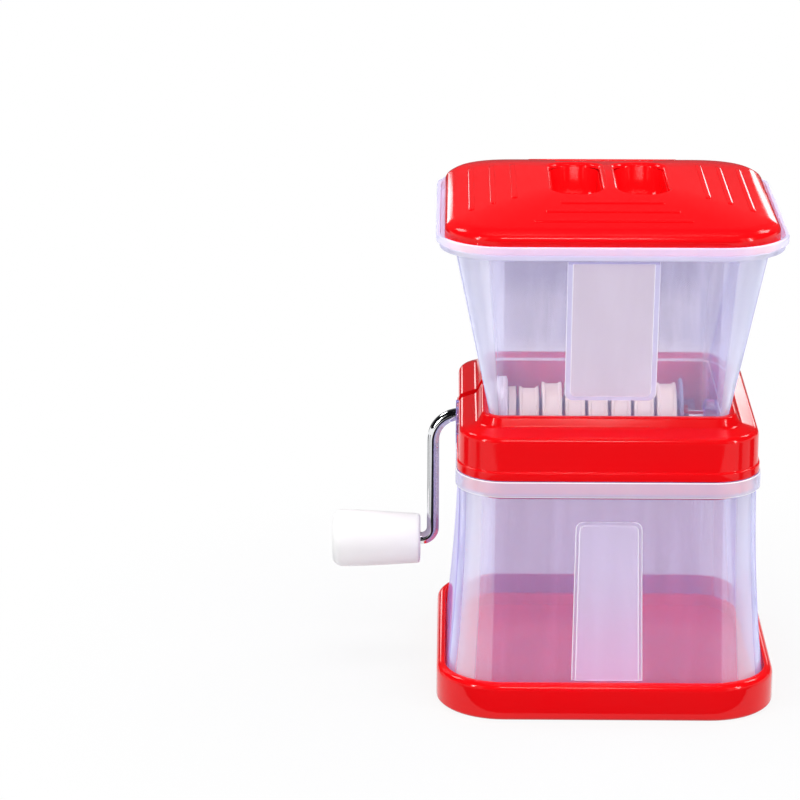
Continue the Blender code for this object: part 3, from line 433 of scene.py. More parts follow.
red_plastic = opaque_plastic("glossy_red", (0.80, 0.003, 0.006), (0.74, 0.002, 0.004), (0.09, 0.15),
                             strength=0.12, specular=0.28)
grip_white = opaque_plastic("satin_white", (0.88, 0.875, 0.87), (0.85, 0.84, 0.83), (0.3, 0.38))
bush_white = opaque_plastic("bush_white", (0.84, 0.83, 0.82), (0.78, 0.77, 0.77), (0.28, 0.36))
spacer_cream = opaque_plastic("spacer_cream", (0.97, 0.91, 0.79), (0.94, 0.87, 0.74), (0.3, 0.4))
print("opaque:", red_plastic.name, grip_white.name, bush_white.name, spacer_cream.name)

# %% [markdown]
# The container and hopper are clear styrene with a lavender cast. Light has to pass through
# the walls to what is inside, and a plain glass shader blocks the lamps' shadow rays, so
# those rays see a tinted, fully transparent surface instead. What passes straight through
# keeps its colour, while the faint haze in the plastic scatters blue, more so at a slant. So
# the body colour is nearly neutral and a blue sheen lies on it. The frosted pads are the
# same plastic with a rough outer skin. Some light is painted into these finishes: every fold
# has a painted white highlight, and the turned faces and corners take lighter, milkier
# finishes that paint the bright bands seen through a rounded corner. The foot of the funnel
# has a clearer tone that paints the red inside it brighter, and the container's pads a pink
# tone low down that paints the red of the tray reflected in them.

# %% A group for streaks and painted light on clear plastic


def streaks_and_painted_light_group():
    """Colour of clear plastic: a tone low down and a lighter tone in the corners, both painted light, and
    upright lighter streaks at random.
    """
    tree, given, result = shader_group("plastic_flow", {
        "Colour": (0.8, 0.8, 0.8, 1.0), "Light Colour": (0.95, 0.95, 1.0, 1.0), "Corner From": 0.62,
        "Corner To": 1.0, "Streaks": 0.5, "Low Colour": (0.8, 0.8, 0.8, 1.0), "Low From": 0.0,
        "Low To": 0.001}, ("Colour",))
    place = add(tree, "ShaderNodeTexCoord")
    parts = add(tree, "ShaderNodeSeparateXYZ")
    joined(tree, place, "Object", parts, 0)
    sizes = [(maths(tree, "ABSOLUTE", (parts, axis)), 0) for axis in ("X", "Y")]
    least = maths(tree, "MINIMUM", *sizes)
    most = maths(tree, "MAXIMUM", *sizes)
    near = maths(tree, "DIVIDE", (least, 0), (most, 0))
    # Painted light: the corners of the square, found from X and Y, take the lighter colour.
    corner = ranged(tree, (near, 0), (given, "Corner From"), (given, "Corner To"), "SMOOTHSTEP")
    stretch = filled(add(tree, "ShaderNodeMapping"), Scale=(95.0, 95.0, 5.0))
    joined(tree, place, "Object", stretch, "Vector")
    run = noise_node(tree, (stretch, "Vector"), 1.0, 3.0, 0.6)
    streak = ranged(tree, (run, "Fac"), 0.46, 0.72)
    scaled = maths(tree, "MULTIPLY", (streak, "Result"), (given, "Streaks"))
    both = maths(tree, "MAXIMUM", (corner, "Result"), (scaled, 0))
    # Painted light: below the given height the body takes a tone of its own.
    rise = ranged(tree, (parts, "Z"), (given, "Low From"), (given, "Low To"), "SMOOTHSTEP")
    body = colour_mix(tree, (rise, "Result"), (given, "Low Colour"), (given, "Colour"))
    shade = colour_mix(tree, (both, 0), body, (given, "Light Colour"))
    joined(tree, *shade, result, "Colour")
    return tree


streaks_and_painted_light = streaks_and_painted_light_group()
print("group", streaks_and_painted_light.name, "with", len(streaks_and_painted_light.nodes), "nodes")

# %% The clear plastics


SHADE = (0.97, 0.96, 0.985)


def clear_plastic(name, tint, painted_light_tint, gloss, milk, haze, haze_tint=(0.35, 0.38, 1.0), streaks=0.5,
                  low=None, rise=(0.0, 0.001), shadow_tint=SHADE):
    """See-through plastic with a bluish haze that lets shadow rays by; the corners get a painted lighter
    tone, and low is a painted tone below a rise.
    """
    made, tree, shader = new_finish(name)
    surface = group_node(tree, moulded, Gloss_Low=gloss[0], Gloss_High=gloss[1], Swell_Scale=22.0,
                         Hairlines=0.15)
    tone = group_node(tree, streaks_and_painted_light, Colour=(*tint, 1.0), Light_Colour=(*painted_light_tint, 1.0), Streaks=streaks,
                      Low_Colour=(*(low or tint), 1.0), Low_From=rise[0], Low_To=rise[1])
    joined(tree, tone, "Colour", shader, "Base Color")
    joined(tree, surface, "Roughness", shader, "Roughness")
    bumped(tree, surface, "Height", shader, 0.05, 0.0003)
    filled(shader, IOR=1.46, Sheen_Weight=haze, Sheen_Roughness=0.8, Sheen_Tint=(*haze_tint, 1.0),
           Transmission_Weight=1.0 - milk)
    through = filled(add(tree, "ShaderNodeBsdfTransparent"), Color=(*shadow_tint, 1.0))
    path = add(tree, "ShaderNodeLightPath")
    surface_mix(tree, (path, "Is Shadow Ray"), shader, through)
    return made


clear_wall = clear_plastic("clear_lavender", (0.765, 0.695, 0.69), (0.95, 0.92, 0.97), (0.03, 0.07),
                           milk=0.05, haze=0.60, haze_tint=(0.42, 0.38, 1.0))
# Painted light: the clearer, warmer tone low in the funnel makes the red inside it show brighter, standing in
# for light there.
clear_funnel = clear_plastic("clear_funnel", (0.70, 0.67, 0.72), (0.96, 0.94, 0.99), (0.03, 0.07),
                             milk=0.05, haze=0.42, haze_tint=(0.38, 0.38, 1.0),
                             low=(0.985, 0.94, 0.92), rise=(0.166, 0.186))
# Painted light: these lighter, milkier finishes on turned faces and corners paint the bright bands seen
# through a rounded corner.
clear_side = clear_plastic("clear_side", (0.89, 0.865, 0.935), (0.98, 0.97, 1.0), (0.03, 0.07),
                           milk=0.08, haze=0.65, haze_tint=(0.55, 0.58, 1.0), streaks=0.6)
clear_corner = clear_plastic("clear_corner", (0.92, 0.91, 0.99), (0.99, 0.99, 1.0), (0.04, 0.09),
                             milk=0.16, haze=0.8, haze_tint=(0.70, 0.74, 1.0), streaks=0.6)
frosted = clear_plastic("frosted_lavender", (0.80, 0.735, 0.775), (0.95, 0.92, 0.95), (0.38, 0.46),
                        milk=0.36, haze=0.25, haze_tint=(0.9, 0.85, 1.0), streaks=0.2)
# Painted reflection: the pink tone low on the container's pads is the red tray's reflection painted in.
frosted_low = clear_plastic("frosted_panel", (0.80, 0.745, 0.83), (0.90, 0.86, 0.92), (0.30, 0.40),
                            milk=0.22, haze=0.30, haze_tint=(0.78, 0.72, 1.0), streaks=0.2,
                            low=(0.86, 0.66, 0.79), rise=(0.016, 0.075))
milky_rim = clear_plastic("milky_rim", (0.85, 0.81, 0.96), (0.96, 0.96, 0.99), (0.05, 0.10),
                          milk=0.46, haze=0.4, haze_tint=(0.6, 0.62, 1.0), streaks=0.2)
# Painted highlight: a fine white line on every fold.
painted_fold_highlight = clear_plastic("white_fold", (0.98, 0.96, 0.99), (0.99, 0.98, 0.99), (0.15, 0.25),
                           milk=0.8, haze=0.3, haze_tint=(1.0, 0.97, 1.0), streaks=0.0)
smoke = clear_plastic("smoky_plastic", (0.62, 0.65, 0.78), (0.70, 0.72, 0.84), (0.1, 0.16),
                      milk=0.35, haze=0.2, shadow_tint=(0.6, 0.62, 0.75))
print("walls:", clear_wall.name, clear_funnel.name, clear_side.name, clear_corner.name)
print("pads and rims:", frosted.name, frosted_low.name, milky_rim.name, painted_fold_highlight.name)
print("washer:", smoke.name)


def turned(way):
    """Degrees by which a face is turned from its nearest main direction: 0 on a flat side, 45 on a corner."""
    angle = math.degrees(math.atan2(min(abs(way.x), abs(way.y)), max(abs(way.x), abs(way.y))))
    return angle if abs(way.z) < 0.5 else 0.0


def coated(piece, finish, chosen):
    """Give a second finish to the faces that a test on their centre and normal picks."""
    piece.data.materials.append(finish)
    number = len(piece.data.materials) - 1
    count = 0
    for face in piece.data.polygons:
        if chosen(face.center, face.normal):
            face.material_index = number
            count += 1
    print(piece.name, "has", count, "faces in", finish.name)

# %% [markdown]
# The crank is a polished, plated rod. Its look is nearly all reflection, with the faintest
# lengthwise polishing lines. The blades are ground strip steel, darker and duller, and the
# nut is plain plated steel.

# %% The metals
SMUDGE_SHADE = 0.88


def metal(name, colour, gloss, stretch, strength, distance):
    """Bare or plated metal with tool marks."""
    made, tree, shader = new_finish(name)
    marks = group_node(tree, tool_marks, Stretch=stretch, Gloss_Low=gloss[0], Gloss_High=gloss[1])
    joined(tree, marks, "Roughness", shader, "Roughness")
    smudged = [value * SMUDGE_SHADE for value in colour]
    shade = colour_mix(tree, (marks, "Smudge"), (*colour, 1.0), (*smudged, 1.0))
    joined(tree, *shade, shader, "Base Color")
    filled(shader, Metallic=1.0)
    bumped(tree, marks, "Height", shader, strength, distance)
    return made


chrome = metal("polished_chrome", (0.90, 0.91, 0.93), (0.03, 0.08), (1400.0, 1400.0, 90.0), 0.03, 0.0001)
blade_steel = metal("ground_steel", (0.19, 0.21, 0.29), (0.22, 0.36), (900.0, 2600.0, 60.0), 0.15, 0.0001)
nut_steel = metal("plated_steel", (0.70, 0.71, 0.74), (0.2, 0.3), (60.0, 1800.0, 1800.0), 0.1, 0.0001)
print("metals:", chrome.name, blade_steel.name, nut_steel.name)

# %% [markdown]
# ## Shapes
# Nearly every moulding here is a rounded square whose size changes with height. So one
# helper draws a rounded-square ring, another rounds the corners of a profile, and a third
# skins the rings. The CAD node does the same with few facets. This mesh has many, and a
# small radius on every edge, because it is the radius that catches the light.

# %% Helpers for square mouldings
CORNER_STEPS = 14
MOST_OF_EDGE = 0.45


def softened(profile, radius, steps=3, closed=False):
    """Round the corners of a (half, height) profile with short curves."""
    points = [Vector(point) for point in profile]
    count = len(points)
    result = []
    for index, point in enumerate(points):
        if not closed and index in (0, count - 1):
            result.append(point)
            continue
        before = points[index - 1]
        after = points[(index + 1) % count]
        shorter = min((before - point).length, (after - point).length)
        reach = min(radius, shorter * MOST_OF_EDGE)
        start = point + (before - point).normalized() * reach
        end = point + (after - point).normalized() * reach
        for step in range(steps + 1):
            share = step / steps
            result.append(start * (1 - share) ** 2 + point * (2 * share * (1 - share)) + end * share ** 2)
    return [(point.x, point.y) for point in result]


def square_ring(builder, half, corner, height):
    """Vertices of a rounded square at one height."""
    corner = max(corner, 0.2 * MM)
    straight = half - corner
    ring = []
    for quarter in range(4):
        turn = Matrix.Rotation(quarter * math.pi / 2, 3, "Z")
        for step in range(CORNER_STEPS + 1):
            angle = step / CORNER_STEPS * math.pi / 2
            point = Vector((straight + corner * math.cos(angle), straight + corner * math.sin(angle), height))
            ring.append(builder.verts.new(turn @ point))
    return ring


def wheel(builder, along, radius, height, steps):
    """Vertices of a circle about a line along X."""
    angles = [2 * math.pi * step / steps for step in range(steps)]
    return [builder.verts.new((along, radius * math.cos(angle), height + radius * math.sin(angle)))
            for angle in angles]


def ring_half(x, y, half, corner):
    """Half-width of the rounded square through a point, of a family that is concentric with a known one."""
    straight = half - corner
    return straight + math.hypot(max(abs(x) - straight, 0.0), max(abs(y) - straight, 0.0))


def bridge(builder, lower, upper):
    """Quads between two rings."""
    count = len(lower)
    for index in range(count):
        after = (index + 1) % count
        builder.faces.new((lower[index], lower[after], upper[after], upper[index]))


def lofted(builder, rings, ends="capped"):
    """Bridge a row of rings whose ends are capped, left open, or looped round to each other."""
    for lower, upper in zip(rings, rings[1:]):
        bridge(builder, lower, upper)
    if ends == "looped":
        bridge(builder, rings[-1], rings[0])
    elif ends == "capped":
        builder.faces.new(reversed(rings[0]))
        builder.faces.new(rings[-1])


def skinned(sections, ends="looped"):
    """A bmesh through rounded squares given as (half, corner, height)."""
    builder = bmesh.new()
    lofted(builder, [square_ring(builder, *section) for section in sections], ends)
    return builder


def creased(mesh, angle=40.0):
    """Keep the edges crisp where faces meet at more than an angle."""
    mesh.set_sharp_from_angle(angle=math.radians(angle))


def piece_from(name, builder, finish, angle=40.0):
    """Finish a bmesh as an object with outward faces and smooth shading."""
    bmesh.ops.recalc_face_normals(builder, faces=builder.faces)
    mesh = bpy.data.meshes.new(name)
    builder.to_mesh(mesh)
    builder.free()
    mesh.materials.append(finish)
    mesh.shade_smooth()
    creased(mesh, angle)
    made = bpy.data.objects.new(name, mesh)
    bpy.context.scene.collection.objects.link(made)
    return made


def applied(piece):
    """A plain mesh of a piece with its modifiers applied."""
    bpy.context.view_layer.update()
    ready = piece.evaluated_get(bpy.context.evaluated_depsgraph_get())
    return bpy.data.meshes.new_from_object(ready)


def cut_or_join(target, guide, operation):
    """One exact boolean, applied at once; the guide is removed."""
    step = target.modifiers.new(operation.lower(), "BOOLEAN")
    step.operation = operation
    step.solver = "EXACT"
    step.object = guide
    mesh = applied(target)
    old = target.data
    target.modifiers.clear()
    target.data = mesh
    mesh.name = target.name
    bpy.data.meshes.remove(old)
    bpy.data.objects.remove(guide, do_unlink=True)


def placed(piece, body, slot, *nodes):
    """Say what the piece rides on and what it stands for; slot is not used."""
    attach(piece, body)
    if nodes:
        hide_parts(*nodes)
    print(piece.name, "rides on", body, "with", len(piece.data.polygons), "faces")
    return piece


# %% Sizes taken from the CAD boxes
BODY_HEIGHT = 107.1 * MM


def half_of(node):
    """Half-width, lowest and highest point of a node."""
    low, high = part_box(node)
    return (high.y - low.y) / 2, low.z, high.z


TRAY_HALF, TRAY_FOOT, TRAY_TOP = half_of("base_tray")
BODY_FOOT, EAR_TOP = half_of("lower_container")[1:]
BODY_TOP = BODY_FOOT + BODY_HEIGHT
COLLAR_HALF, SKIRT_FOOT, COLLAR_TOP = half_of("collar")
LIP_HALF, NECK_FOOT, LIP_TOP = half_of("hopper")
LID_HALF, LID_FOOT, LID_TOP = half_of("lid")
for label, size in (("tray", TRAY_HALF), ("container top", BODY_TOP), ("collar", COLLAR_HALF),
                    ("lip", LIP_HALF), ("lip top", LIP_TOP), ("lid", LID_HALF), ("lid top", LID_TOP)):
    print(label, round(size / MM, 2), "mm")

# %% [markdown]
# The tray is a shallow red moulding. Its outside is rounded at the foot and shoulder, and
# inside it steps down from a ledge, on which the container stands, to a flat floor.
# Underneath, an open channel runs round so that the ledge isn't a thick lump of plastic.

# %% The tray
TRAY_CORNER = 32.0 * MM
TRAY_INNER = 76.5 * MM
TRAY_SHOULDER = 3.4 * MM
TRAY_BEVEL = 1.2 * MM
TRAY_EDGE_RADIUS = 0.6 * MM
SEAT_HEIGHT = 8.0 * MM
SEAT_WIDTH = 4.0 * MM
TRAY_WALL = 2.2 * MM
TRAY_FLOOR = 2.6 * MM
MIDDLE = 2.0 * MM


def concentric(half, base_half, base_corner):
    """Corner radius that keeps a ring concentric with a known one."""
    return base_corner + half - base_half


def concentric_sections(profile, base_half, base_corner):
    """Rounded squares for the (half, height) points of a profile."""
    return [(half, concentric(half, base_half, base_corner), height) for half, height in profile]


def round_shoulder(half, top, radius, sweep):
    """(half, height) points that turn a wall's head inward through an angle."""
    angles = [math.radians(step * sweep / 6) for step in range(1, 7)]
    return [(half - radius * (1 - math.cos(angle)), top - radius * (1 - math.sin(angle))) for angle in angles]


def tray_piece():
    """Skin the tray's profile from the middle of its underside to the middle of its floor."""
    inner = TRAY_INNER - SEAT_WIDTH
    roof = SEAT_HEIGHT - TRAY_WALL
    profile = [(MIDDLE, TRAY_FOOT), (inner + TRAY_WALL, TRAY_FOOT), (inner + TRAY_WALL, roof)]
    profile += [(TRAY_HALF - TRAY_WALL, roof), (TRAY_HALF - TRAY_WALL, TRAY_FOOT)]
    profile += [(TRAY_HALF - TRAY_BEVEL, TRAY_FOOT), (TRAY_HALF, TRAY_FOOT + TRAY_BEVEL)]
    profile += [(TRAY_HALF, TRAY_TOP - TRAY_SHOULDER)]
    profile += round_shoulder(TRAY_HALF, TRAY_TOP, TRAY_SHOULDER, 90)
    profile += [(TRAY_INNER, TRAY_TOP), (TRAY_INNER, SEAT_HEIGHT), (inner, SEAT_HEIGHT), (inner, TRAY_FLOOR)]
    profile += [(MIDDLE, TRAY_FLOOR)]
    sections = concentric_sections(softened(profile, TRAY_EDGE_RADIUS), TRAY_HALF, TRAY_CORNER)
    return piece_from("tray_shell", skinned(sections, "capped"), red_plastic)


placed(tray_piece(), "tray", "red_plastic", "base_tray")

# %% [markdown]
# The container's walls are upright at the mouth and flare towards the foot, so its profile
# follows a power curve. A flange band stands out at the top, with a socket inside it that
# takes the collar's skirt. On the crank side the band's wall is carried up as an ear, with
# an open slot in which the crank rod lies.

# %% The container
MOUTH_HALF = 70.0 * MM
MOUTH_CORNER = 21.5 * MM
FOOT_HALF = 76.2 * MM
FLARE_POWER = 1.9
BAND_FOOT = 107.8 * MM
BAND_HALF = MOUTH_HALF + 1.8 * MM
CLEAR_WALL = 2.0 * MM
EDGE_RADIUS = 0.45 * MM
EASE = 0.35 * MM
SOCKET_DEPTH = 6.8 * MM
SOCKET_HALF = 69.8 * MM
SHAFT_HEIGHT = NECK_FOOT + 20.8 * MM
SLOT_HALF = 3.7 * MM
SLOT_END = -53.6 * MM
EAR_HALF = 11.0 * MM
EAR_CORNER = 4.0 * MM
EAR_ROOT = 1.2 * MM
BAND_FOLD = 0.5 * MM
SIDE_TURN = 16
CORNER_TURN = 34


def body_half(height):
    """Outer half-width of the container at a height."""
    share = max((BAND_FOOT - height) / (BAND_FOOT - BODY_FOOT), 0.0)
    return MOUTH_HALF + (FOOT_HALF - MOUTH_HALF) * share ** FLARE_POWER


def slab(name, outlines, finish):
    """A plate through equally long (y, z) outlines, each set at its own place along X."""
    builder = bmesh.new()
    lofted(builder, [[builder.verts.new((along, y, z)) for y, z in outline] for along, outline in outlines])
    return piece_from(name, builder, finish)


def ear_outline(inset):
    """The ear from the side: straight up from the band, with round top corners."""
    half = EAR_HALF - inset
    corner = EAR_CORNER - inset
    outline = [(-half, BODY_TOP - EAR_ROOT), (half, BODY_TOP - EAR_ROOT)]
    for sign, start in ((1, 0), (-1, 90)):
        for step in range(9):
            angle = math.radians(start + 90 * step / 8)
            outline.append((sign * (half - corner) + corner * math.cos(angle),
                            EAR_TOP - inset - corner + corner * math.sin(angle)))
    return outline


def ear_plate():
    """The band's wall carried up past the shaft, with its outer edges eased."""
    far = -(MOUTH_HALF + 1.65 * MM)
    near = -(SOCKET_HALF + 0.15 * MM)
    full, eased = ear_outline(0.0), ear_outline(EASE)
    outlines = [(far, eased), (far + EASE, full), (near - EASE, full), (near, eased)]
    return slab("ear_plate", outlines, clear_wall)


def slot_guide():
    """An open-topped slot with a round bottom, which the rod drops into from above."""
    top = COLLAR_TOP + SLOT_HALF
    outline = [(SLOT_HALF, top), (-SLOT_HALF, top)]
    for step in range(25):
        angle = math.pi * (1 + step / 24)
        outline.append((SLOT_HALF * math.cos(angle), SHAFT_HEIGHT + SLOT_HALF * math.sin(angle)))
    return slab("slot_guide", [(-(COLLAR_HALF + SLOT_HALF), outline), (SLOT_END, outline)], clear_wall)


def container_profile():
    """Outside up, over the band, down the socket and the inside."""
    rows = [BODY_FOOT + (BAND_FOOT - BODY_FOOT) * step / 16 for step in range(17)]
    socket_floor = BODY_TOP - SOCKET_DEPTH
    profile = [(body_half(height), height) for height in rows]
    profile += [(BAND_HALF, BAND_FOOT), (BAND_HALF, BODY_TOP), (SOCKET_HALF, BODY_TOP)]
    profile += [(SOCKET_HALF, socket_floor), (MOUTH_HALF - CLEAR_WALL, socket_floor)]
    profile += [(body_half(height) - CLEAR_WALL, height) for height in reversed(rows)]
    return softened(profile, EDGE_RADIUS, closed=True)


def container_piece():
    """Skin the profile, join the ear on and slot it, and give each face its finish."""
    sections = concentric_sections(container_profile(), MOUTH_HALF, MOUTH_CORNER)
    shell = piece_from("container_shell", skinned(sections), clear_wall)
    cut_or_join(shell, ear_plate(), "UNION")
    cut_or_join(shell, slot_guide(), "DIFFERENCE")
    creased(shell.data)

    def on_band(spot):
        return ring_half(spot.x, spot.y, MOUTH_HALF, MOUTH_CORNER) > MOUTH_HALF + 1.0 * MM

    def by_fold(spot):
        return abs(spot.z - BAND_FOOT) < BAND_FOLD or abs(spot.z - BODY_TOP) < BAND_FOLD

    # Painted light: the turned faces and corners of the walls take the lighter finishes.
    coated(shell, clear_side, lambda spot, way: spot.z < BAND_FOOT and turned(way) > SIDE_TURN)
    coated(shell, clear_corner, lambda spot, way: spot.z < BAND_FOOT and turned(way) > CORNER_TURN)
    coated(shell, milky_rim, lambda spot, way: on_band(spot) and BAND_FOOT < spot.z < BODY_TOP)
    # Painted highlight: the folds of the band take the white fold finish.
    coated(shell, painted_fold_highlight, lambda spot, way: on_band(spot) and abs(way.z) > 0.12 and by_fold(spot))
    return shell


placed(container_piece(), "container", "clear_plastic", "lower_container")

# %% [markdown]
# The front of the container and of the hopper carries a thin raised pad. It is a clear
# frame with a matt panel standing on it, and the fold round each of them is painted as a
# fine white line, a painted highlight. A pad follows the wall behind it.

# %% The frosted pads


def pad_width(height, low, high, widths, corner, round_low, round_high):
    """Half-width of a pad at a height, drawn in at its rounded corners."""
    share = (height - low) / (high - low)
    width = widths[0] + (widths[1] - widths[0]) * share
    near = corner
    if round_low:
        near = min(near, height - low)
    if round_high:
        near = min(near, high - height)
    near = max(near, 0.0)
    return width / 2 - (corner - math.sqrt(max(corner ** 2 - (corner - near) ** 2, 0.0)))


def pad_piece(name, wall_half, limits, widths, skin, ends, finish):
    """A plate on the front as a loft of small cross-sections, with a painted white highlight on the fold
    round it.

    Limits are its lowest and highest points, widths those at its foot and head, and skin its
    corner radius with the places of its back and face from the wall. Ends says which are round."""
    low, high = limits
    corner, sunk, proud = skin
    builder = bmesh.new()
    levels = [low + (high - low) * step / 12 for step in range(13)]
    for step in range(1, 9):
        part = corner * (1 - math.cos(step / 8 * math.pi / 2))
        levels += [low + part] * ends[0] + [high - part] * ends[1]
    rings = []
    for height in sorted(set(round(level, 7) for level in levels)):
        half = pad_width(height, low, high, widths, corner, ends[0], ends[1])
        inner = wall_half(height) + sunk
        outer = wall_half(height) + proud
        edge = outer - 0.1 * MM
        loop = [(-half, inner), (half, inner), (half, edge), (half - EASE, outer), (0.0, outer),
                (EASE - half, outer), (-half, edge)]
        rings.append([builder.verts.new((x, -y, height)) for x, y in loop])
    lofted(builder, rings)
    around = len(rings[0])
    # Faces other than the back and the face take the white fold finish, a painted highlight.
    for index, face in enumerate(builder.faces):
        back_or_face = index < around * (len(rings) - 1) and index % around in (0, 3, 4)
        face.material_index = 0 if back_or_face else 1
    made = piece_from(name, builder, finish, 50.0)
    made.data.materials.append(painted_fold_highlight)
    return made


PAD_FOOT = TRAY_TOP + 0.6 * MM
FRAME_SKIN = (3.6 * MM, -0.1 * MM, 0.2 * MM)
PANEL_SKIN = (2.8 * MM, 0.21 * MM, 0.5 * MM)
FRAME_HEIGHT = 77.0 * MM
FRAME_WIDTHS = (33.5 * MM, 31.0 * MM)
PANEL_HEIGHT = 75.4 * MM
PANEL_WIDTHS = (30.1 * MM, 27.6 * MM)
ROUND_HEAD, ROUND_FOOT = (0, 1), (1, 0)
# The container's pads take frosted_low, whose pink tone low down is a painted reflection of the red tray.
container_frame = pad_piece("container_pad_frame", body_half, (PAD_FOOT, PAD_FOOT + FRAME_HEIGHT),
                            FRAME_WIDTHS, FRAME_SKIN, ROUND_HEAD, frosted_low)
container_panel = pad_piece("container_pad_panel", body_half, (PAD_FOOT, PAD_FOOT + PANEL_HEIGHT),
                            PANEL_WIDTHS, PANEL_SKIN, ROUND_HEAD, frosted_low)
placed(container_frame, "container", "clear_plastic")
placed(container_panel, "container", "clear_plastic")

# %% [markdown]
# The collar joins the container to the hopper. Seen from outside it is a foot band, a
# plain wall, a rounded shoulder and two steps up to a narrow rim. Inside, a second wall
# with a ledge holds the hopper's neck.

# %% The collar
COLLAR_WALL_HALF = 70.4 * MM
COLLAR_FOOT = BODY_TOP + 0.3 * MM
COLLAR_EDGE = COLLAR_FOOT + 21.0 * MM
COLLAR_BAND = 4.0 * MM
COLLAR_SHOULDER = 3.2 * MM
COLLAR_CORNER = 21.5 * MM
COLLAR_RIM = 2.4 * MM
COLLAR_STEP = 2.6 * MM
NECK_HALF = 55.6 * MM
NECK_CORNER = 5.7 * MM
BORE_HALF = NECK_HALF + 0.7 * MM
BORE_CORNER = 6.4 * MM
LEDGE = 2.7 * MM
HOLLOW_WALL = 2.0 * MM
FIT_GAP = 0.3 * MM
RECESS_GAP = 0.6 * MM
COLLAR_EDGE_RADIUS = 0.5 * MM


def collar_profile():
    """(half, height) points: up the outside, down the bore, round the ledge and up between the walls."""
    step_half = BORE_HALF + 0.3 * MM + COLLAR_RIM + COLLAR_STEP
    skirt_half = SOCKET_HALF - FIT_GAP
    skirt_end = BODY_TOP - SOCKET_DEPTH + FIT_GAP
    ledge_half = BORE_HALF - LEDGE
    outer = [(COLLAR_HALF, COLLAR_FOOT), (COLLAR_HALF, COLLAR_FOOT + COLLAR_BAND)]
    outer += [(COLLAR_WALL_HALF, COLLAR_FOOT + COLLAR_BAND + 0.3 * MM)]
    outer += [(COLLAR_WALL_HALF, COLLAR_EDGE - COLLAR_SHOULDER)]
    outer += round_shoulder(COLLAR_WALL_HALF, COLLAR_EDGE, COLLAR_SHOULDER, 80)
    outer += [(step_half + 0.8 * MM, COLLAR_EDGE + 1.8 * MM), (step_half - 0.2 * MM, COLLAR_EDGE + 2.6 * MM)]
    outer += [(step_half - 2.0 * MM, COLLAR_TOP - 0.5 * MM), (step_half - 2.8 * MM, COLLAR_TOP)]
    inner = [(BORE_HALF, COLLAR_TOP), (BORE_HALF, NECK_FOOT - FIT_GAP), (ledge_half, NECK_FOOT - FIT_GAP)]
    inner += [(ledge_half, SKIRT_FOOT), (BORE_HALF + HOLLOW_WALL, SKIRT_FOOT)]
    under = [(BORE_HALF + HOLLOW_WALL, COLLAR_EDGE), (step_half - 1.0 * MM, COLLAR_EDGE)]
    under += [(skirt_half - HOLLOW_WALL, COLLAR_EDGE - 3.5 * MM), (skirt_half - HOLLOW_WALL, skirt_end)]
    under += [(skirt_half, skirt_end), (skirt_half, COLLAR_FOOT)]
    return softened(outer + inner + under, COLLAR_EDGE_RADIUS, closed=True)


def recess_guide():
    """The room that the ear takes up, with a little clearance."""
    reach, top, foot = EAR_HALF + FIT_GAP, EAR_TOP + RECESS_GAP, SKIRT_FOOT - FIT_GAP
    outline = [(-reach, foot), (reach, foot), (reach, top), (-reach, top)]
    outside, inside = -(COLLAR_HALF + 2.0 * MM), 0.45 * MM - SOCKET_HALF
    return slab("recess_guide", [(outside, outline), (inside, outline)], red_plastic)


def collar_piece():
    """Skin the profile, then cut the recess for the ear and the slot for the crank rod."""
    sections = []
    for half, height in collar_profile():
        share = (COLLAR_WALL_HALF - half) / (COLLAR_WALL_HALF - BORE_HALF)
        corner = COLLAR_CORNER + (BORE_CORNER - COLLAR_CORNER) * share
        if half < BORE_HALF:
            corner = concentric(half, BORE_HALF, BORE_CORNER)
        sections.append((half, corner, height))
    ring = piece_from("collar_shell", skinned(sections), red_plastic)
    cut_or_join(ring, recess_guide(), "DIFFERENCE")
    cut_or_join(ring, slot_guide(), "DIFFERENCE")
    creased(ring.data)
    return ring


placed(collar_piece(), "collar_ring", "red_plastic", "collar")

# %% [markdown]
# The hopper is a square funnel on a straight neck. Its rim is a shelf with a raised lip,
# inside which the lid sits. Two round holes near the neck's foot take the bushes.

# %% The hopper
NECK_TOP = NECK_FOOT + 34.4 * MM
FUNNEL_HALF = 72.7 * MM
SHELF_FOOT = NECK_TOP + 83.0 * MM
SHELF_HALF = FUNNEL_HALF + 7.1 * MM
SHELF_THICK = 2.0 * MM
SHELF_EDGE = 3.0 * MM
FUNNEL_BROW = 1.0 * MM
SLEEVE = 12.6 * MM
FOLD = 0.45 * MM
FUNNEL_SIDE_TURN = 3
FUNNEL_CORNER_TURN = 18
FUNNEL_FRAME_LIMITS = (SHELF_FOOT - 72.0 * MM, SHELF_FOOT - 2.0 * MM)
FUNNEL_FRAME_WIDTH = 42.5 * MM
FUNNEL_PANEL_LIMITS = (SHELF_FOOT - 70.0 * MM, SHELF_FOOT - 3.0 * MM)
FUNNEL_PANEL_WIDTH = 37.6 * MM


def funnel_half(height):
    """Outer half-width of the funnel at a height."""
    return NECK_HALF + (FUNNEL_HALF - NECK_HALF) * max(height - NECK_TOP, 0.0) / (SHELF_FOOT - NECK_TOP)


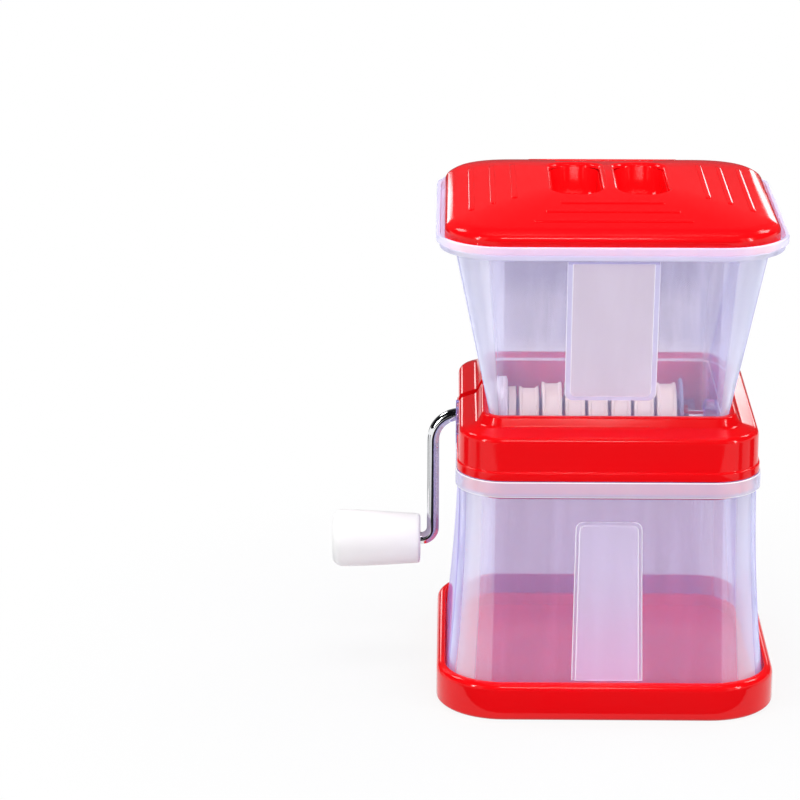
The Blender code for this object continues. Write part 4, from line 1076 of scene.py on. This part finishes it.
def hopper_profile():
    """Up the outside, over the lip, and down the inside of the funnel and neck."""
    shelf_top = SHELF_FOOT + SHELF_THICK
    shelf_edge = SHELF_FOOT + SHELF_EDGE
    inner = NECK_HALF - CLEAR_WALL
    profile = [(NECK_HALF, NECK_FOOT), (NECK_HALF, NECK_TOP), (FUNNEL_HALF, SHELF_FOOT - FUNNEL_BROW)]
    profile += [(FUNNEL_HALF + FUNNEL_BROW, SHELF_FOOT), (SHELF_HALF, SHELF_FOOT), (SHELF_HALF, shelf_edge)]
    profile += [(LIP_HALF, shelf_edge), (LIP_HALF, LIP_TOP), (LIP_HALF - CLEAR_WALL, LIP_TOP)]
    profile += [(LIP_HALF - CLEAR_WALL, shelf_top), (FUNNEL_HALF - CLEAR_WALL + FUNNEL_BROW, shelf_top)]
    profile += [(FUNNEL_HALF - CLEAR_WALL, SHELF_FOOT - 0.3 * MM), (inner, NECK_TOP), (inner, NECK_FOOT)]
    return softened(profile, EDGE_RADIUS, closed=True)


def bush_holes():
    """A round plug through the neck's wall on either side."""
    builder = bmesh.new()
    radius = SLEEVE / 2 + 0.3 * MM
    for side in (-1, 1):
        ends = (NECK_HALF - 2 * CLEAR_WALL, NECK_HALF + CLEAR_WALL)
        lofted(builder, [wheel(builder, side * along, radius, SHAFT_HEIGHT, 48) for along in ends])
    return piece_from("hole_guide", builder, clear_funnel)


def hopper_piece():
    """Skin the profile, cut the holes, and give the turned faces, the rim and the folds their finishes."""
    sections = concentric_sections(hopper_profile(), NECK_HALF, NECK_CORNER)
    shell = piece_from("hopper_shell", skinned(sections), clear_funnel)
    cut_or_join(shell, bush_holes(), "DIFFERENCE")
    creased(shell.data)
    # Painted light: the turned faces and corners of the funnel take the lighter finishes.
    coated(shell, clear_side, lambda spot, way: turned(way) > FUNNEL_SIDE_TURN)
    coated(shell, clear_corner, lambda spot, way: turned(way) > FUNNEL_CORNER_TURN)
    coated(shell, milky_rim, lambda spot, way: spot.z > SHELF_FOOT - 0.2 * MM)
    # Painted highlight: the fold at the top of the neck takes the white fold finish.
    coated(shell, painted_fold_highlight, lambda spot, way: abs(spot.z - NECK_TOP) < FOLD and abs(way.z) < 0.9)
    return shell


placed(hopper_piece(), "hopper_unit", "clear_plastic", "hopper")
hopper_frame = pad_piece("hopper_pad_frame", funnel_half, FUNNEL_FRAME_LIMITS,
                         (FUNNEL_FRAME_WIDTH, FUNNEL_FRAME_WIDTH), FRAME_SKIN, ROUND_FOOT, milky_rim)
hopper_panel = pad_piece("hopper_pad_panel", funnel_half, FUNNEL_PANEL_LIMITS,
                         (FUNNEL_PANEL_WIDTH, FUNNEL_PANEL_WIDTH), PANEL_SKIN, ROUND_FOOT, frosted)
placed(hopper_frame, "hopper_unit", "clear_plastic")
placed(hopper_panel, "hopper_unit", "clear_plastic")

# %% [markdown]
# The lid's top is a shallow crown with soft hips towards its corners, and two deep finger
# wells leave a bar to hold. The wells are cut with a guide whose rim follows the crown and
# flares out, so that the plastic rolls over into each well as a moulding does. Their ends
# are half-round and slope in towards the floor, which catches the light in one streak.

# %% The lid
LID_EDGE = LID_FOOT + 11.2 * MM
LID_SKIRT = 8.2 * MM
INNER_SKIRT = 7.1 * MM
LID_WALL = 2.2 * MM
PLATEAU = LID_HALF - 5.0 * MM
CROWN = 9.4 * MM
CROWN_POWER = 1.95
CROWN_CORNER = 0.31
HIP = 7.35
LID_BROW = 2.6 * MM
INNER_BROW = 0.9 * MM
LID_CREASE = 46.0
WELL_LENGTH = 65.0 * MM
WELL_WIDTH = 24.0 * MM
WELL_DEPTH = 17.0 * MM
WELL_CORNER = 10.5 * MM
WELL_INSET = 0.55 * MM
WELL_ROLL = 2.6 * MM
ROLL_START = 6
ROLL_SWEEP = 76
ABOVE_CROWN = 7.0 * MM
# How far down the well, as a share, and how many mm its walls have drawn in there.
WELL_FLOOR_CURVE = ((1.0, 4.4), (0.985, 2.9), (0.93, 1.5), (0.84, 0.6), (0.72, 0.1), (0.4, 0.0), (0.0, 0.0))
END_TILT = 27.0
GRIP_BAR = 7.0 * MM


def crown_height(x, y):
    """Height of the crown: it falls with the distance from the middle, along soft hips."""
    reach = (abs(x) ** HIP + abs(y) ** HIP) ** (1 / HIP)
    return LID_EDGE + CROWN * (1 - (reach / PLATEAU) ** CROWN_POWER)


def well_rings(builder, side, grow, levels):
    """Rounded rectangles down a well, each as (inset across, inset along, drop, follows the crown)."""
    centre = side * (GRIP_BAR + WELL_WIDTH) / 2
    rings = []
    for inset, end_inset, drop, follows in levels:
        half_x = WELL_WIDTH / 2 - inset + grow
        half_y = WELL_LENGTH / 2 - end_inset + grow
        corner = max(min(WELL_CORNER - inset + grow, half_x - 0.2 * MM), 1.0 * MM)
        ring = []
        for start, sign_x, sign_y in ((0, 1, 1), (90, -1, 1), (180, -1, -1), (270, 1, -1)):
            for step in range(12):
                angle = math.radians(start + 90 * step / 11)
                x = centre + sign_x * (half_x - corner) + corner * math.cos(angle)
                y = sign_y * (half_y - corner) + corner * math.sin(angle)
                top = crown_height(x, y) if follows else crown_height(0.0, 0.0)
                ring.append(builder.verts.new((x, y, top - drop)))
        rings.append(ring)
    return rings


def wells_guide(name, grow, levels):
    """Both wells as closed shapes."""
    builder = bmesh.new()
    for side in (-1, 1):
        lofted(builder, well_rings(builder, side, grow, levels))
    return piece_from(name, builder, red_plastic)


def lid_piece():
    """The cover: skirt, sloped edge and crown outside, and the same a wall further in."""
    outer = [(LID_HALF, LID_FOOT), (LID_HALF, LID_FOOT + LID_SKIRT), (PLATEAU, LID_EDGE)]
    reaches = [PLATEAU * (1 - step / 16) for step in range(1, 16)]
    outer += [(reach, crown_height(reach, 0.0)) for reach in reaches]
    inner = [(reach, crown_height(reach, 0.0) - LID_WALL) for reach in reversed(reaches)]
    inner += [(PLATEAU - 0.8 * MM, LID_EDGE - LID_WALL), (LID_HALF - LID_WALL, LID_FOOT + INNER_SKIRT),
              (LID_HALF - LID_WALL, LID_FOOT)]
    builder = bmesh.new()
    skins = []
    for profile in (softened(outer, LID_BROW, 6), softened(inner, INNER_BROW)):
        rings = []
        for half, height in profile:
            corner = max(concentric(half, NECK_HALF, NECK_CORNER), CROWN_CORNER * half)
            rings.append(square_ring(builder, half, corner, height))
        lofted(builder, rings, "open")
        skins.append(rings)
    builder.faces.new(skins[0][-1])
    builder.faces.new(reversed(skins[1][0]))
    bridge(builder, skins[1][-1], skins[0][0])
    return piece_from("lid_shell", builder, red_plastic)


def well_levels():
    """The hollow of a well from its floor, up its ends, over the roll of its rim and out above the crown."""
    top = WELL_ROLL + 1.2 * MM
    tilt = math.tan(math.radians(END_TILT))
    levels = []
    for share, lost in WELL_FLOOR_CURVE:
        drop = top + (WELL_DEPTH - top) * share
        start = WELL_INSET + lost * MM
        levels.append((start + 1.0 * MM * share, start + tilt * (drop - top), drop, False))
    for step in range(9):
        angle = math.radians(ROLL_START + ROLL_SWEEP * step / 8)
        inset = -WELL_ROLL * (1 - math.cos(angle)) + 0.3 * MM
        levels.append((inset, inset, WELL_ROLL * (1 - math.sin(angle)), True))
    levels.append((-WELL_ROLL * 1.05, -WELL_ROLL * 1.05, -ABOVE_CROWN, False))
    return levels


def lid_with_wells():
    """Add the shells of the wells below the crown, then cut the wells from above."""
    cover = lid_piece()
    shell_levels = [(2.4 * MM, 2.4 * MM, WELL_DEPTH + LID_WALL, False), (0.4 * MM, 0.4 * MM, 4.0 * MM, False)]
    cut_or_join(cover, wells_guide("well_shells", LID_WALL, shell_levels), "UNION")
    cut_or_join(cover, wells_guide("well_hollows", 0.0, well_levels()), "DIFFERENCE")
    creased(cover.data, LID_CREASE)
    return cover


placed(lid_with_wells(), "lid_cover", "red_plastic", "lid")

# %% [markdown]
# Low ribs stand in rows round the crown for grip. Each is drawn flat, as a rounded bar in
# its place. They follow the surface, so Geometry Nodes finish them: a tree lifts every
# point onto the crown by the crown's own formula.

# %% Geometry Nodes helpers


def node_tree(name):
    """An empty Geometry Nodes tree with one geometry input and output."""
    tree = bpy.data.node_groups.new(name, "GeometryNodeTree")
    tree.is_modifier = True
    for way in ("INPUT", "OUTPUT"):
        tree.interface.new_socket(name="Geometry", in_out=way, socket_type="NodeSocketGeometry")
    return tree


def sized(tree, sizes):
    """Add an input for each named size, which starts at that size."""
    for name, value in sizes.items():
        kind = "NodeSocketInt" if isinstance(value, int) else "NodeSocketFloat"
        tree.interface.new_socket(name=name, in_out="INPUT", socket_type=kind).default_value = value


def split_position(tree):
    """A point's place as X, Y and Z."""
    parts = add(tree, "ShaderNodeSeparateXYZ")
    joined(tree, add(tree, "GeometryNodeInputPosition"), "Position", parts, 0)
    return parts


def ended(tree, source, output, finish):
    """Realize the instances, set the material and join the group's output."""
    real = fed(tree, add(tree, "GeometryNodeRealizeInstances"), {"Geometry": (source, output)})
    coat = fed(tree, add(tree, "GeometryNodeSetMaterial"),
               {"Geometry": (real, "Geometry"), "Material": finish})
    joined(tree, coat, "Geometry", add(tree, "NodeGroupOutput"), "Geometry")


def grown(name, tree, sizes, base=None, angle=40.0):
    """Run a tree on an object, with its sizes by name, and keep the result as a plain mesh."""
    made = bpy.data.objects.new(name, base or bpy.data.meshes.new(name))
    step = made.modifiers.new(name, "NODES")
    step.node_group = tree
    for label, value in sizes.items():
        step[tree.interface.items_tree[label].identifier] = value
    bpy.context.scene.collection.objects.link(made)
    mesh = applied(made)
    bpy.data.objects.remove(made, do_unlink=True)
    mesh.shade_smooth()
    creased(mesh, angle)
    result = bpy.data.objects.new(name, mesh)
    bpy.context.scene.collection.objects.link(result)
    return result


# %% The ribs on the lid
RIB_WIDTH = 2.6 * MM
RIB_RISE = 0.6 * MM
RIB_ROOT = 0.8 * MM
BACK_LOWERED = 0.6
SIDE_RIBS = ((45.0 * MM, 36.0 * MM), (55.0 * MM, 40.0 * MM), (65.0 * MM, 45.0 * MM))
END_RIBS = ((45.0 * MM, 24.0 * MM), (55.0 * MM, 31.0 * MM), (65.0 * MM, 36.5 * MM))


def rib_blank(builder, across, offset, length, side, lowered=0.0):
    """One rib as a rounded bar, many steps long, with its top at height 0 or a little lower."""
    ends = [(-1.0, 0.0), (-0.995, 0.5), (-0.985, 0.8), (-0.97, 1.0)]
    ends += [(-0.97 + 1.94 * step / 24, 1.0) for step in range(1, 24)]
    ends += [(-shift, wide) for shift, wide in reversed(ends[:4])]
    rows = []
    for shift, wide in ends:
        half = RIB_WIDTH / 2 * (0.25 + 0.75 * wide)
        rise = RIB_RISE * (0.3 + 0.7 * wide)
        section = []
        for step in range(9):
            angle = math.pi * step / 8
            section.append((half * math.cos(angle),
                            -RIB_RISE + rise * (1 - lowered) * math.sin(angle) ** 0.5))
        section += [(-half, -RIB_RISE - RIB_ROOT), (half, -RIB_RISE - RIB_ROOT)]
        loop = []
        for width, height in section:
            place = side * offset + width
            along = shift * length
            loop.append(builder.verts.new((along, place, height) if across else (place, along, height)))
        rows.append(loop)
    lofted(builder, rows)


def crown_tree():
    """Lift every point by the crown's height: edge + crown * (1 - (reach / plateau) ^ power)."""
    tree = node_tree("follow_the_crown")
    sizes = {"Edge Height": LID_EDGE + RIB_RISE, "Crown": CROWN, "Plateau Half": PLATEAU, "Hip Power": HIP,
             "Crown Power": CROWN_POWER}
    sized(tree, sizes)
    given = add(tree, "NodeGroupInput")
    parts = split_position(tree)
    powers = []
    for axis in ("X", "Y"):
        size = maths(tree, "ABSOLUTE", (parts, axis))
        scaled = maths(tree, "DIVIDE", (size, 0), (given, "Plateau Half"))
        powers.append((maths(tree, "POWER", (scaled, 0), (given, "Hip Power")), 0))
    total = maths(tree, "ADD", *powers)
    slope = maths(tree, "DIVIDE", (given, "Crown Power"), (given, "Hip Power"))
    share = maths(tree, "POWER", (total, 0), (slope, 0))
    left = maths(tree, "SUBTRACT", 1.0, (share, 0))
    height = maths(tree, "MULTIPLY_ADD", (left, 0), (given, "Crown"), (given, "Edge Height"))
    offset = fed(tree, add(tree, "ShaderNodeCombineXYZ"), {"Z": (height, 0)})
    lift = fed(tree, add(tree, "GeometryNodeSetPosition"),
               {"Geometry": (given, "Geometry"), "Offset": (offset, 0)})
    ended(tree, lift, "Geometry", red_plastic)
    return tree, sizes


rib_rows = bmesh.new()
for offset, length in SIDE_RIBS:
    rib_blank(rib_rows, False, offset, length, -1)
    rib_blank(rib_rows, False, offset, length, 1)
for offset, length in END_RIBS:
    rib_blank(rib_rows, True, offset, length, -1)
    rib_blank(rib_rows, True, offset, length, 1, BACK_LOWERED)
bmesh.ops.recalc_face_normals(rib_rows, faces=rib_rows.faces)
rib_mesh = bpy.data.meshes.new("rib_rows")
rib_rows.to_mesh(rib_mesh)
rib_rows.free()
placed(grown("lid_ribs", *crown_tree(), rib_mesh), "lid_cover", "red_plastic")

# %% [markdown]
# Turned and moulded round parts are drawn as a half-profile and spun about the crank's
# axis. A small radius goes on every edge of the profile before it is spun.

# %% Helpers for round parts


def spun(profile, height, steps):
    """Spin (along X, radius) points about a line at a height; the profile closes on itself."""
    builder = bmesh.new()
    lofted(builder, [wheel(builder, along, radius, height, steps) for along, radius in profile], "looped")
    return builder


def round_piece(name, profile, height, finish, edge=0.4 * MM, steps=72):
    """A spun piece with softened edges."""
    rounded = softened(profile, edge, 4, closed=True)
    return piece_from(name, spun(rounded, height, steps), finish, 50.0)


# %% [markdown]
# A wide white bush lines the neck on the crank side and faces the blades with a dished
# flange. A small clear one takes the rod's end on the far side.

# %% The bushes
ROD_RADIUS = 3.0 * MM
ROD_BORE = 3.35 * MM
WALL_FACE = NECK_HALF - CLEAR_WALL - 0.3 * MM
CRANK_FLANGE = 19.3 * MM
FAR_FLANGE = 8.2 * MM
FLANGE_BEVEL = 1.0 * MM
DISH_FOOT = 0.82
DISH_DEPTH = 0.4


def crank_bush_profile():
    """From outside the wall, through it, to the dished flange."""
    low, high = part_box("crank_side_bush")
    wall, face = -WALL_FACE, high.x
    return [(low.x, ROD_BORE), (low.x, SLEEVE / 2), (wall, SLEEVE / 2), (wall, CRANK_FLANGE * DISH_FOOT),
            (wall + (face - wall) * DISH_DEPTH, CRANK_FLANGE), (face - 0.6 * MM, CRANK_FLANGE),
            (face, CRANK_FLANGE - 1.4 * MM), (face, ROD_BORE)]


def far_bush_profile():
    """From the flange to outside the wall."""
    low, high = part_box("far_side_bush")
    return [(low.x, ROD_BORE), (low.x, FAR_FLANGE - FLANGE_BEVEL), (low.x + FLANGE_BEVEL, FAR_FLANGE),
            (WALL_FACE, FAR_FLANGE), (WALL_FACE, SLEEVE / 2), (high.x, SLEEVE / 2), (high.x, ROD_BORE)]


crank_bush = round_piece("crank_bush", crank_bush_profile(), SHAFT_HEIGHT, bush_white)
far_bush = round_piece("far_bush", far_bush_profile(), SHAFT_HEIGHT, clear_wall)
placed(crank_bush, "hopper_unit", "white_plastic", "crank_side_bush")
placed(far_bush, "hopper_unit", "clear_plastic", "far_side_bush")

# %% [markdown]
# The crank is one rod bent twice in a plane, so it is a path with a round section. The
# tree below sweeps the section along the path and then presses two flats where the
# blades sit, because the blades' holes are flatted too.

# %% The crank rod
ARM_OFFSET = 82.7 * MM
ARM_LENGTH = 63.6 * MM
HANDLE_HEIGHT = SHAFT_HEIGHT - ARM_LENGTH
SHAFT_BEND = 13.0 * MM
HANDLE_BEND = 5.8 * MM
FLAT = 2.4 * MM
FLATS_FROM = -43.45 * MM
FLATS_TO = 36.85 * MM
FLAT_STEP = 0.05 * MM


def rod_points():
    """Centre line from the far end, round both bends, to the end inside the grip."""
    low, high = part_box("crank_rod")
    points = [(along, SHAFT_HEIGHT) for along in (high.x, FLATS_TO + FLAT_STEP, FLATS_TO - FLAT_STEP,
                                                  FLATS_FROM + FLAT_STEP, FLATS_FROM - FLAT_STEP)]
    for step in range(25):
        angle = math.pi / 2 + math.pi / 2 * step / 24
        points.append((-ARM_OFFSET + SHAFT_BEND + SHAFT_BEND * math.cos(angle),
                       SHAFT_HEIGHT - SHAFT_BEND + SHAFT_BEND * math.sin(angle)))
    for step in range(19):
        angle = -math.pi / 2 * step / 18
        points.append((-ARM_OFFSET - HANDLE_BEND + HANDLE_BEND * math.cos(angle),
                       HANDLE_HEIGHT + HANDLE_BEND + HANDLE_BEND * math.sin(angle)))
    points.append((low.x, HANDLE_HEIGHT))
    return [Vector((x, 0.0, z)) for x, z in points]


def rod_tree():
    """Sweep a circle along the curve, close its ends, and press the flats."""
    tree = node_tree("bent_rod")
    sizes = {"Radius": ROD_RADIUS, "Flat": FLAT, "Axis Height": SHAFT_HEIGHT,
             "Flats From": FLATS_FROM, "Flats To": FLATS_TO}
    sized(tree, sizes)
    given = add(tree, "NodeGroupInput")
    circle = fed(tree, add(tree, "GeometryNodeCurvePrimitiveCircle"),
                 {"Resolution": 40, "Radius": (given, "Radius")})
    sweep = fed(tree, add(tree, "GeometryNodeCurveToMesh"),
                {"Fill Caps": True, "Curve": (given, "Geometry"), "Profile Curve": (circle, "Curve")})
    parts = split_position(tree)
    after = add(tree, "FunctionNodeCompare", data_type="FLOAT", operation="GREATER_EQUAL")
    fed(tree, after, {"A": (parts, "X"), "B": (given, "Flats From")})
    before = add(tree, "FunctionNodeCompare", data_type="FLOAT", operation="LESS_EQUAL")
    fed(tree, before, {"A": (parts, "X"), "B": (given, "Flats To")})
    both = add(tree, "FunctionNodeBooleanMath", operation="AND")
    fed(tree, both, {0: (after, "Result"), 1: (before, "Result")})
    below = maths(tree, "SUBTRACT", (given, "Axis Height"), (given, "Flat"))
    above = maths(tree, "ADD", (given, "Axis Height"), (given, "Flat"))
    pressed = fed(tree, add(tree, "ShaderNodeClamp"),
                  {"Value": (parts, "Z"), "Min": (below, 0), "Max": (above, 0)})
    target = fed(tree, add(tree, "ShaderNodeCombineXYZ"),
                 {"X": (parts, "X"), "Y": (parts, "Y"), "Z": (pressed, 0)})
    press = fed(tree, add(tree, "GeometryNodeSetPosition"),
                {"Geometry": (sweep, "Mesh"), "Selection": (both, 0), "Position": (target, 0)})
    ended(tree, press, "Geometry", chrome)
    return tree, sizes


rod_line = bpy.data.curves.new("rod_path", "CURVE")
rod_line.dimensions = "3D"
spline = rod_line.splines.new("POLY")
path = rod_points()
spline.points.add(len(path) - 1)
for point, place in zip(spline.points, path):
    point.co = (*place, 1.0)
placed(grown("bent_crank", *rod_tree(), rod_line, 50.0), "rotor", "chromed_rod", "crank_rod")

# %% [markdown]
# Eight equal blades and seven spacers alternate along the rod. One blade and one spacer
# are modelled, and a tree sets copies of each along a line. Every blade is ground to an
# edge all round, has round ends and a wider hub, and a hole with two flats.

# %% One blade
BLADE_COUNT = 8
BLADE_THICK = 1.0 * MM
BLADE_PITCH = 11.0 * MM
FIRST_BLADE = -42.0 * MM
BLADE_REACH = 40.0 * MM
BLADE_HALF = 5.2 * MM
EDGE_THICK = 0.3 * MM
BEVEL = 1.7 * MM
HUB_RADIUS = 8.5 * MM
HOLE_RADIUS = 3.3 * MM
HOLE_FLAT = 2.7 * MM


def blade_outline(inset):
    """Round ends, straight edges and a wider hub."""
    end = BLADE_HALF - inset
    hub = HUB_RADIUS - inset
    reach = BLADE_REACH - inset
    half_hub = math.acos(BLADE_HALF / HUB_RADIUS)
    points = []
    for side in (1, -1):
        for step in range(15):
            angle = math.radians(-90 + 180 * step / 14)
            points.append((side * (reach - end + end * math.cos(angle)), side * end * math.sin(angle)))
        for step in range(9):
            angle = math.pi / 2 - half_hub + 2 * half_hub * step / 8
            points.append((side * hub * math.cos(angle), side * hub * math.sin(angle)))
    return points


def blade_shape():
    """A thin plate with ground bevels and a flatted hole, centred on the origin."""
    builder = bmesh.new()
    face, edge = BLADE_THICK / 2, EDGE_THICK / 2
    rims = []
    for along, inset in ((-face, BEVEL), (-edge, 0.0), (edge, 0.0), (face, BEVEL)):
        rims.append([builder.verts.new((along, y, z)) for y, z in blade_outline(inset)])
    lofted(builder, rims, "open")
    holes = []
    for along in (-face, face):
        ring = []
        for step in range(32):
            angle = 2 * math.pi * (step + 0.5) / 32
            z = max(-HOLE_FLAT, min(HOLE_FLAT, HOLE_RADIUS * math.sin(angle)))
            ring.append(builder.verts.new((along, HOLE_RADIUS * math.cos(angle), z)))
        holes.append(ring)
    lofted(builder, holes, "open")
    for rim, hole in ((rims[0], holes[0]), (rims[-1], holes[1])):
        edges = []
        for loop in (rim, hole):
            for vertex, after in zip(loop, loop[1:] + loop[:1]):
                edges.append(builder.edges.get((vertex, after)) or builder.edges.new((vertex, after)))
        bmesh.ops.triangle_fill(builder, edges=edges, use_beauty=True)
    return piece_from("one_blade", builder, blade_steel, 20.0)


# %% A tree that sets copies along the crank


def row_tree(name, finish):
    """Copies of an object at one pitch along X."""
    tree = node_tree(name)
    sized(tree, {"Start": FIRST_BLADE, "Pitch": BLADE_PITCH, "Height": SHAFT_HEIGHT, "Count": BLADE_COUNT})
    tree.interface.new_socket(name="Shape", in_out="INPUT", socket_type="NodeSocketObject")
    given = add(tree, "NodeGroupInput")
    start = fed(tree, add(tree, "ShaderNodeCombineXYZ"), {"X": (given, "Start"), "Z": (given, "Height")})
    pitch = fed(tree, add(tree, "ShaderNodeCombineXYZ"), {"X": (given, "Pitch")})
    line = fed(tree, add(tree, "GeometryNodeMeshLine", mode="OFFSET"),
               {"Count": (given, "Count"), "Start Location": (start, 0), "Offset": (pitch, 0)})
    source = fed(tree, add(tree, "GeometryNodeObjectInfo"), {"Object": (given, "Shape")})
    copies = fed(tree, add(tree, "GeometryNodeInstanceOnPoints"),
                 {"Points": (line, "Mesh"), "Instance": (source, "Geometry")})
    ended(tree, copies, "Instances", finish)
    return tree


def row_of(name, tree, shape, start, count, angle=50.0):
    """A finished row from one shape, which is then removed."""
    sizes = {"Start": start, "Pitch": BLADE_PITCH, "Height": SHAFT_HEIGHT, "Count": count, "Shape": shape}
    made = grown(name, tree, sizes, None, angle)
    bpy.data.objects.remove(shape, do_unlink=True)
    return made


blade_nodes = row_tree("blade_row", blade_steel)
blades = row_of("blade_row", blade_nodes, blade_shape(), FIRST_BLADE, BLADE_COUNT, 20.0)
placed(blades, "rotor", "blade_steel", *["blade_%d" % (index + 1) for index in range(BLADE_COUNT)])

# %% The spacers
SPACER_WIDTH = BLADE_PITCH - BLADE_THICK - 0.6 * MM
LARGE_COUNT = 6
LARGE_RADIUS = 16.6 * MM
SMALL_RADIUS = 14.3 * MM
SPACER_RIM = 0.8 * MM
RIM_WIDTH = 1.2 * MM
RIM_FOOT = 1.6 * MM


def spacer_shape(name, width, outer, rim):
    """A tube centred on the origin, with a raised rim at each end where it has one."""
    half = width / 2
    barrel = outer - rim
    rims = [(-half + RIM_WIDTH, outer), (-half + RIM_FOOT, barrel),
            (half - RIM_FOOT, barrel), (half - RIM_WIDTH, outer)] if rim else []
    profile = [(-half, ROD_BORE), (-half, outer), *rims, (half, outer), (half, ROD_BORE)]
    return round_piece(name, profile, 0.0, spacer_cream, 0.35 * MM, 80)


spacer_nodes = row_tree("spacer_row", spacer_cream)
large = row_of("large_spacers", spacer_nodes, spacer_shape("large", SPACER_WIDTH, LARGE_RADIUS, SPACER_RIM),
               FIRST_BLADE + 1.5 * BLADE_PITCH, LARGE_COUNT)
placed(large, "rotor", "cream_plastic", *["spacer_%d" % (index + 2) for index in range(LARGE_COUNT)])
small = row_of("small_spacer", spacer_nodes, spacer_shape("small", SPACER_WIDTH, SMALL_RADIUS, SPACER_RIM),
               FIRST_BLADE + 0.5 * BLADE_PITCH, 1)
placed(small, "rotor", "cream_plastic", "spacer_1")
end_low, end_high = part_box("end_spacer")
end_ring = row_of("end_ring", spacer_nodes, spacer_shape("end", end_high.x - end_low.x, SMALL_RADIUS, 0.0),
                  (end_low.x + end_high.x) / 2, 1)
placed(end_ring, "rotor", "cream_plastic", "end_spacer")

# %% [markdown]
# A smoky washer and a hexagon nut clamp the stack on the far side.

# %% The washer and nut
WASHER_RADIUS = 18.7 * MM
NUT_HALF = 5.0 * MM
washer_low, washer_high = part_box("end_washer")
washer_profile = [(washer_low.x, ROD_BORE), (washer_low.x, WASHER_RADIUS),
                  (washer_high.x, WASHER_RADIUS), (washer_high.x, ROD_BORE)]
washer = round_piece("smoky_washer", washer_profile, SHAFT_HEIGHT, smoke, 0.4 * MM, 96)
placed(washer, "rotor", "smoky_plastic", "end_washer")


def nut_piece():
    """A hexagon with chamfered corners and a round bore; a row without a radius is a hexagon."""
    low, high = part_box("stack_nut")
    chamfer = 0.5 * MM
    face = NUT_HALF * 0.93
    rows = ((low.x, ROD_BORE), (low.x, face), (low.x + chamfer, None),
            (high.x - chamfer, None), (high.x, face), (high.x, ROD_BORE))
    builder = bmesh.new()
    rings = []
    for along, radius in rows:
        ring = []
        for step in range(72):
            angle = 2 * math.pi * step / 72
            local = (angle + math.pi / 6) % (math.pi / 3) - math.pi / 6
            reach = radius or NUT_HALF / math.cos(local)
            y, z = reach * math.cos(angle), SHAFT_HEIGHT + reach * math.sin(angle)
            ring.append(builder.verts.new((along, y, z)))
        rings.append(ring)
    lofted(builder, rings, "looped")
    return piece_from("hexagon_nut", builder, nut_steel, 25.0)


placed(nut_piece(), "rotor", "plated_steel", "stack_nut")

# %% [markdown]
# The grip is a satin white barrel, a little fuller at its free end, with a recess there
# that holds the small retainer on the rod's tip.

# %% The grip
GRIP_THIN = 12.2 * MM
GRIP_FULL = 13.9 * MM
GRIP_LIP = 1.4 * MM
GRIP_ROUND = 4.6 * MM
RECESS_RADIUS = 6.5 * MM
RECESS_DEPTH = 9.0 * MM


def grip_profile():
    """(along X, radius) points from the mouth beside the arm to the recess at the free end."""
    low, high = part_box("handle_grip")
    mouth, tip = high.x, low.x
    profile = [(mouth, ROD_BORE), (mouth, GRIP_THIN - GRIP_LIP),
               (mouth - 0.5 * MM, GRIP_THIN - 0.45 * MM), (mouth - GRIP_LIP, GRIP_THIN)]
    for step in range(1, 13):
        share = step / 12
        profile.append((mouth - GRIP_LIP + (tip + GRIP_ROUND - mouth + GRIP_LIP) * share,
                        GRIP_THIN + (GRIP_FULL - GRIP_THIN) * math.sin(share * math.pi / 2) ** 1.2))
    for step in range(1, 9):
        angle = math.pi / 2 * step / 8
        profile.append((tip + GRIP_ROUND - GRIP_ROUND * math.sin(angle),
                        GRIP_FULL - GRIP_ROUND + GRIP_ROUND * math.cos(angle)))
    profile += [(tip, RECESS_RADIUS), (tip + RECESS_DEPTH, RECESS_RADIUS), (tip + RECESS_DEPTH, ROD_BORE)]
    return profile


grip = round_piece("barrel_grip", grip_profile(), HANDLE_HEIGHT, grip_white, 0.5 * MM, 96)
placed(grip, "grip", "white_plastic", "handle_grip")

# %% [markdown]
# The two combs and the small retainer are right as the CAD has them. They keep their
# shape and take a better finish.

# %% Finishes for the CAD nodes that stay
for name, finish in (("front_comb", clear_wall), ("back_comb", clear_wall), ("grip_retainer", nut_steel)):
    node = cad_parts[name]
    if not node.data.materials:
        node.data.materials.append(finish)
    for slot in node.material_slots:
        slot.material = finish
    print(name, "takes", finish.name)
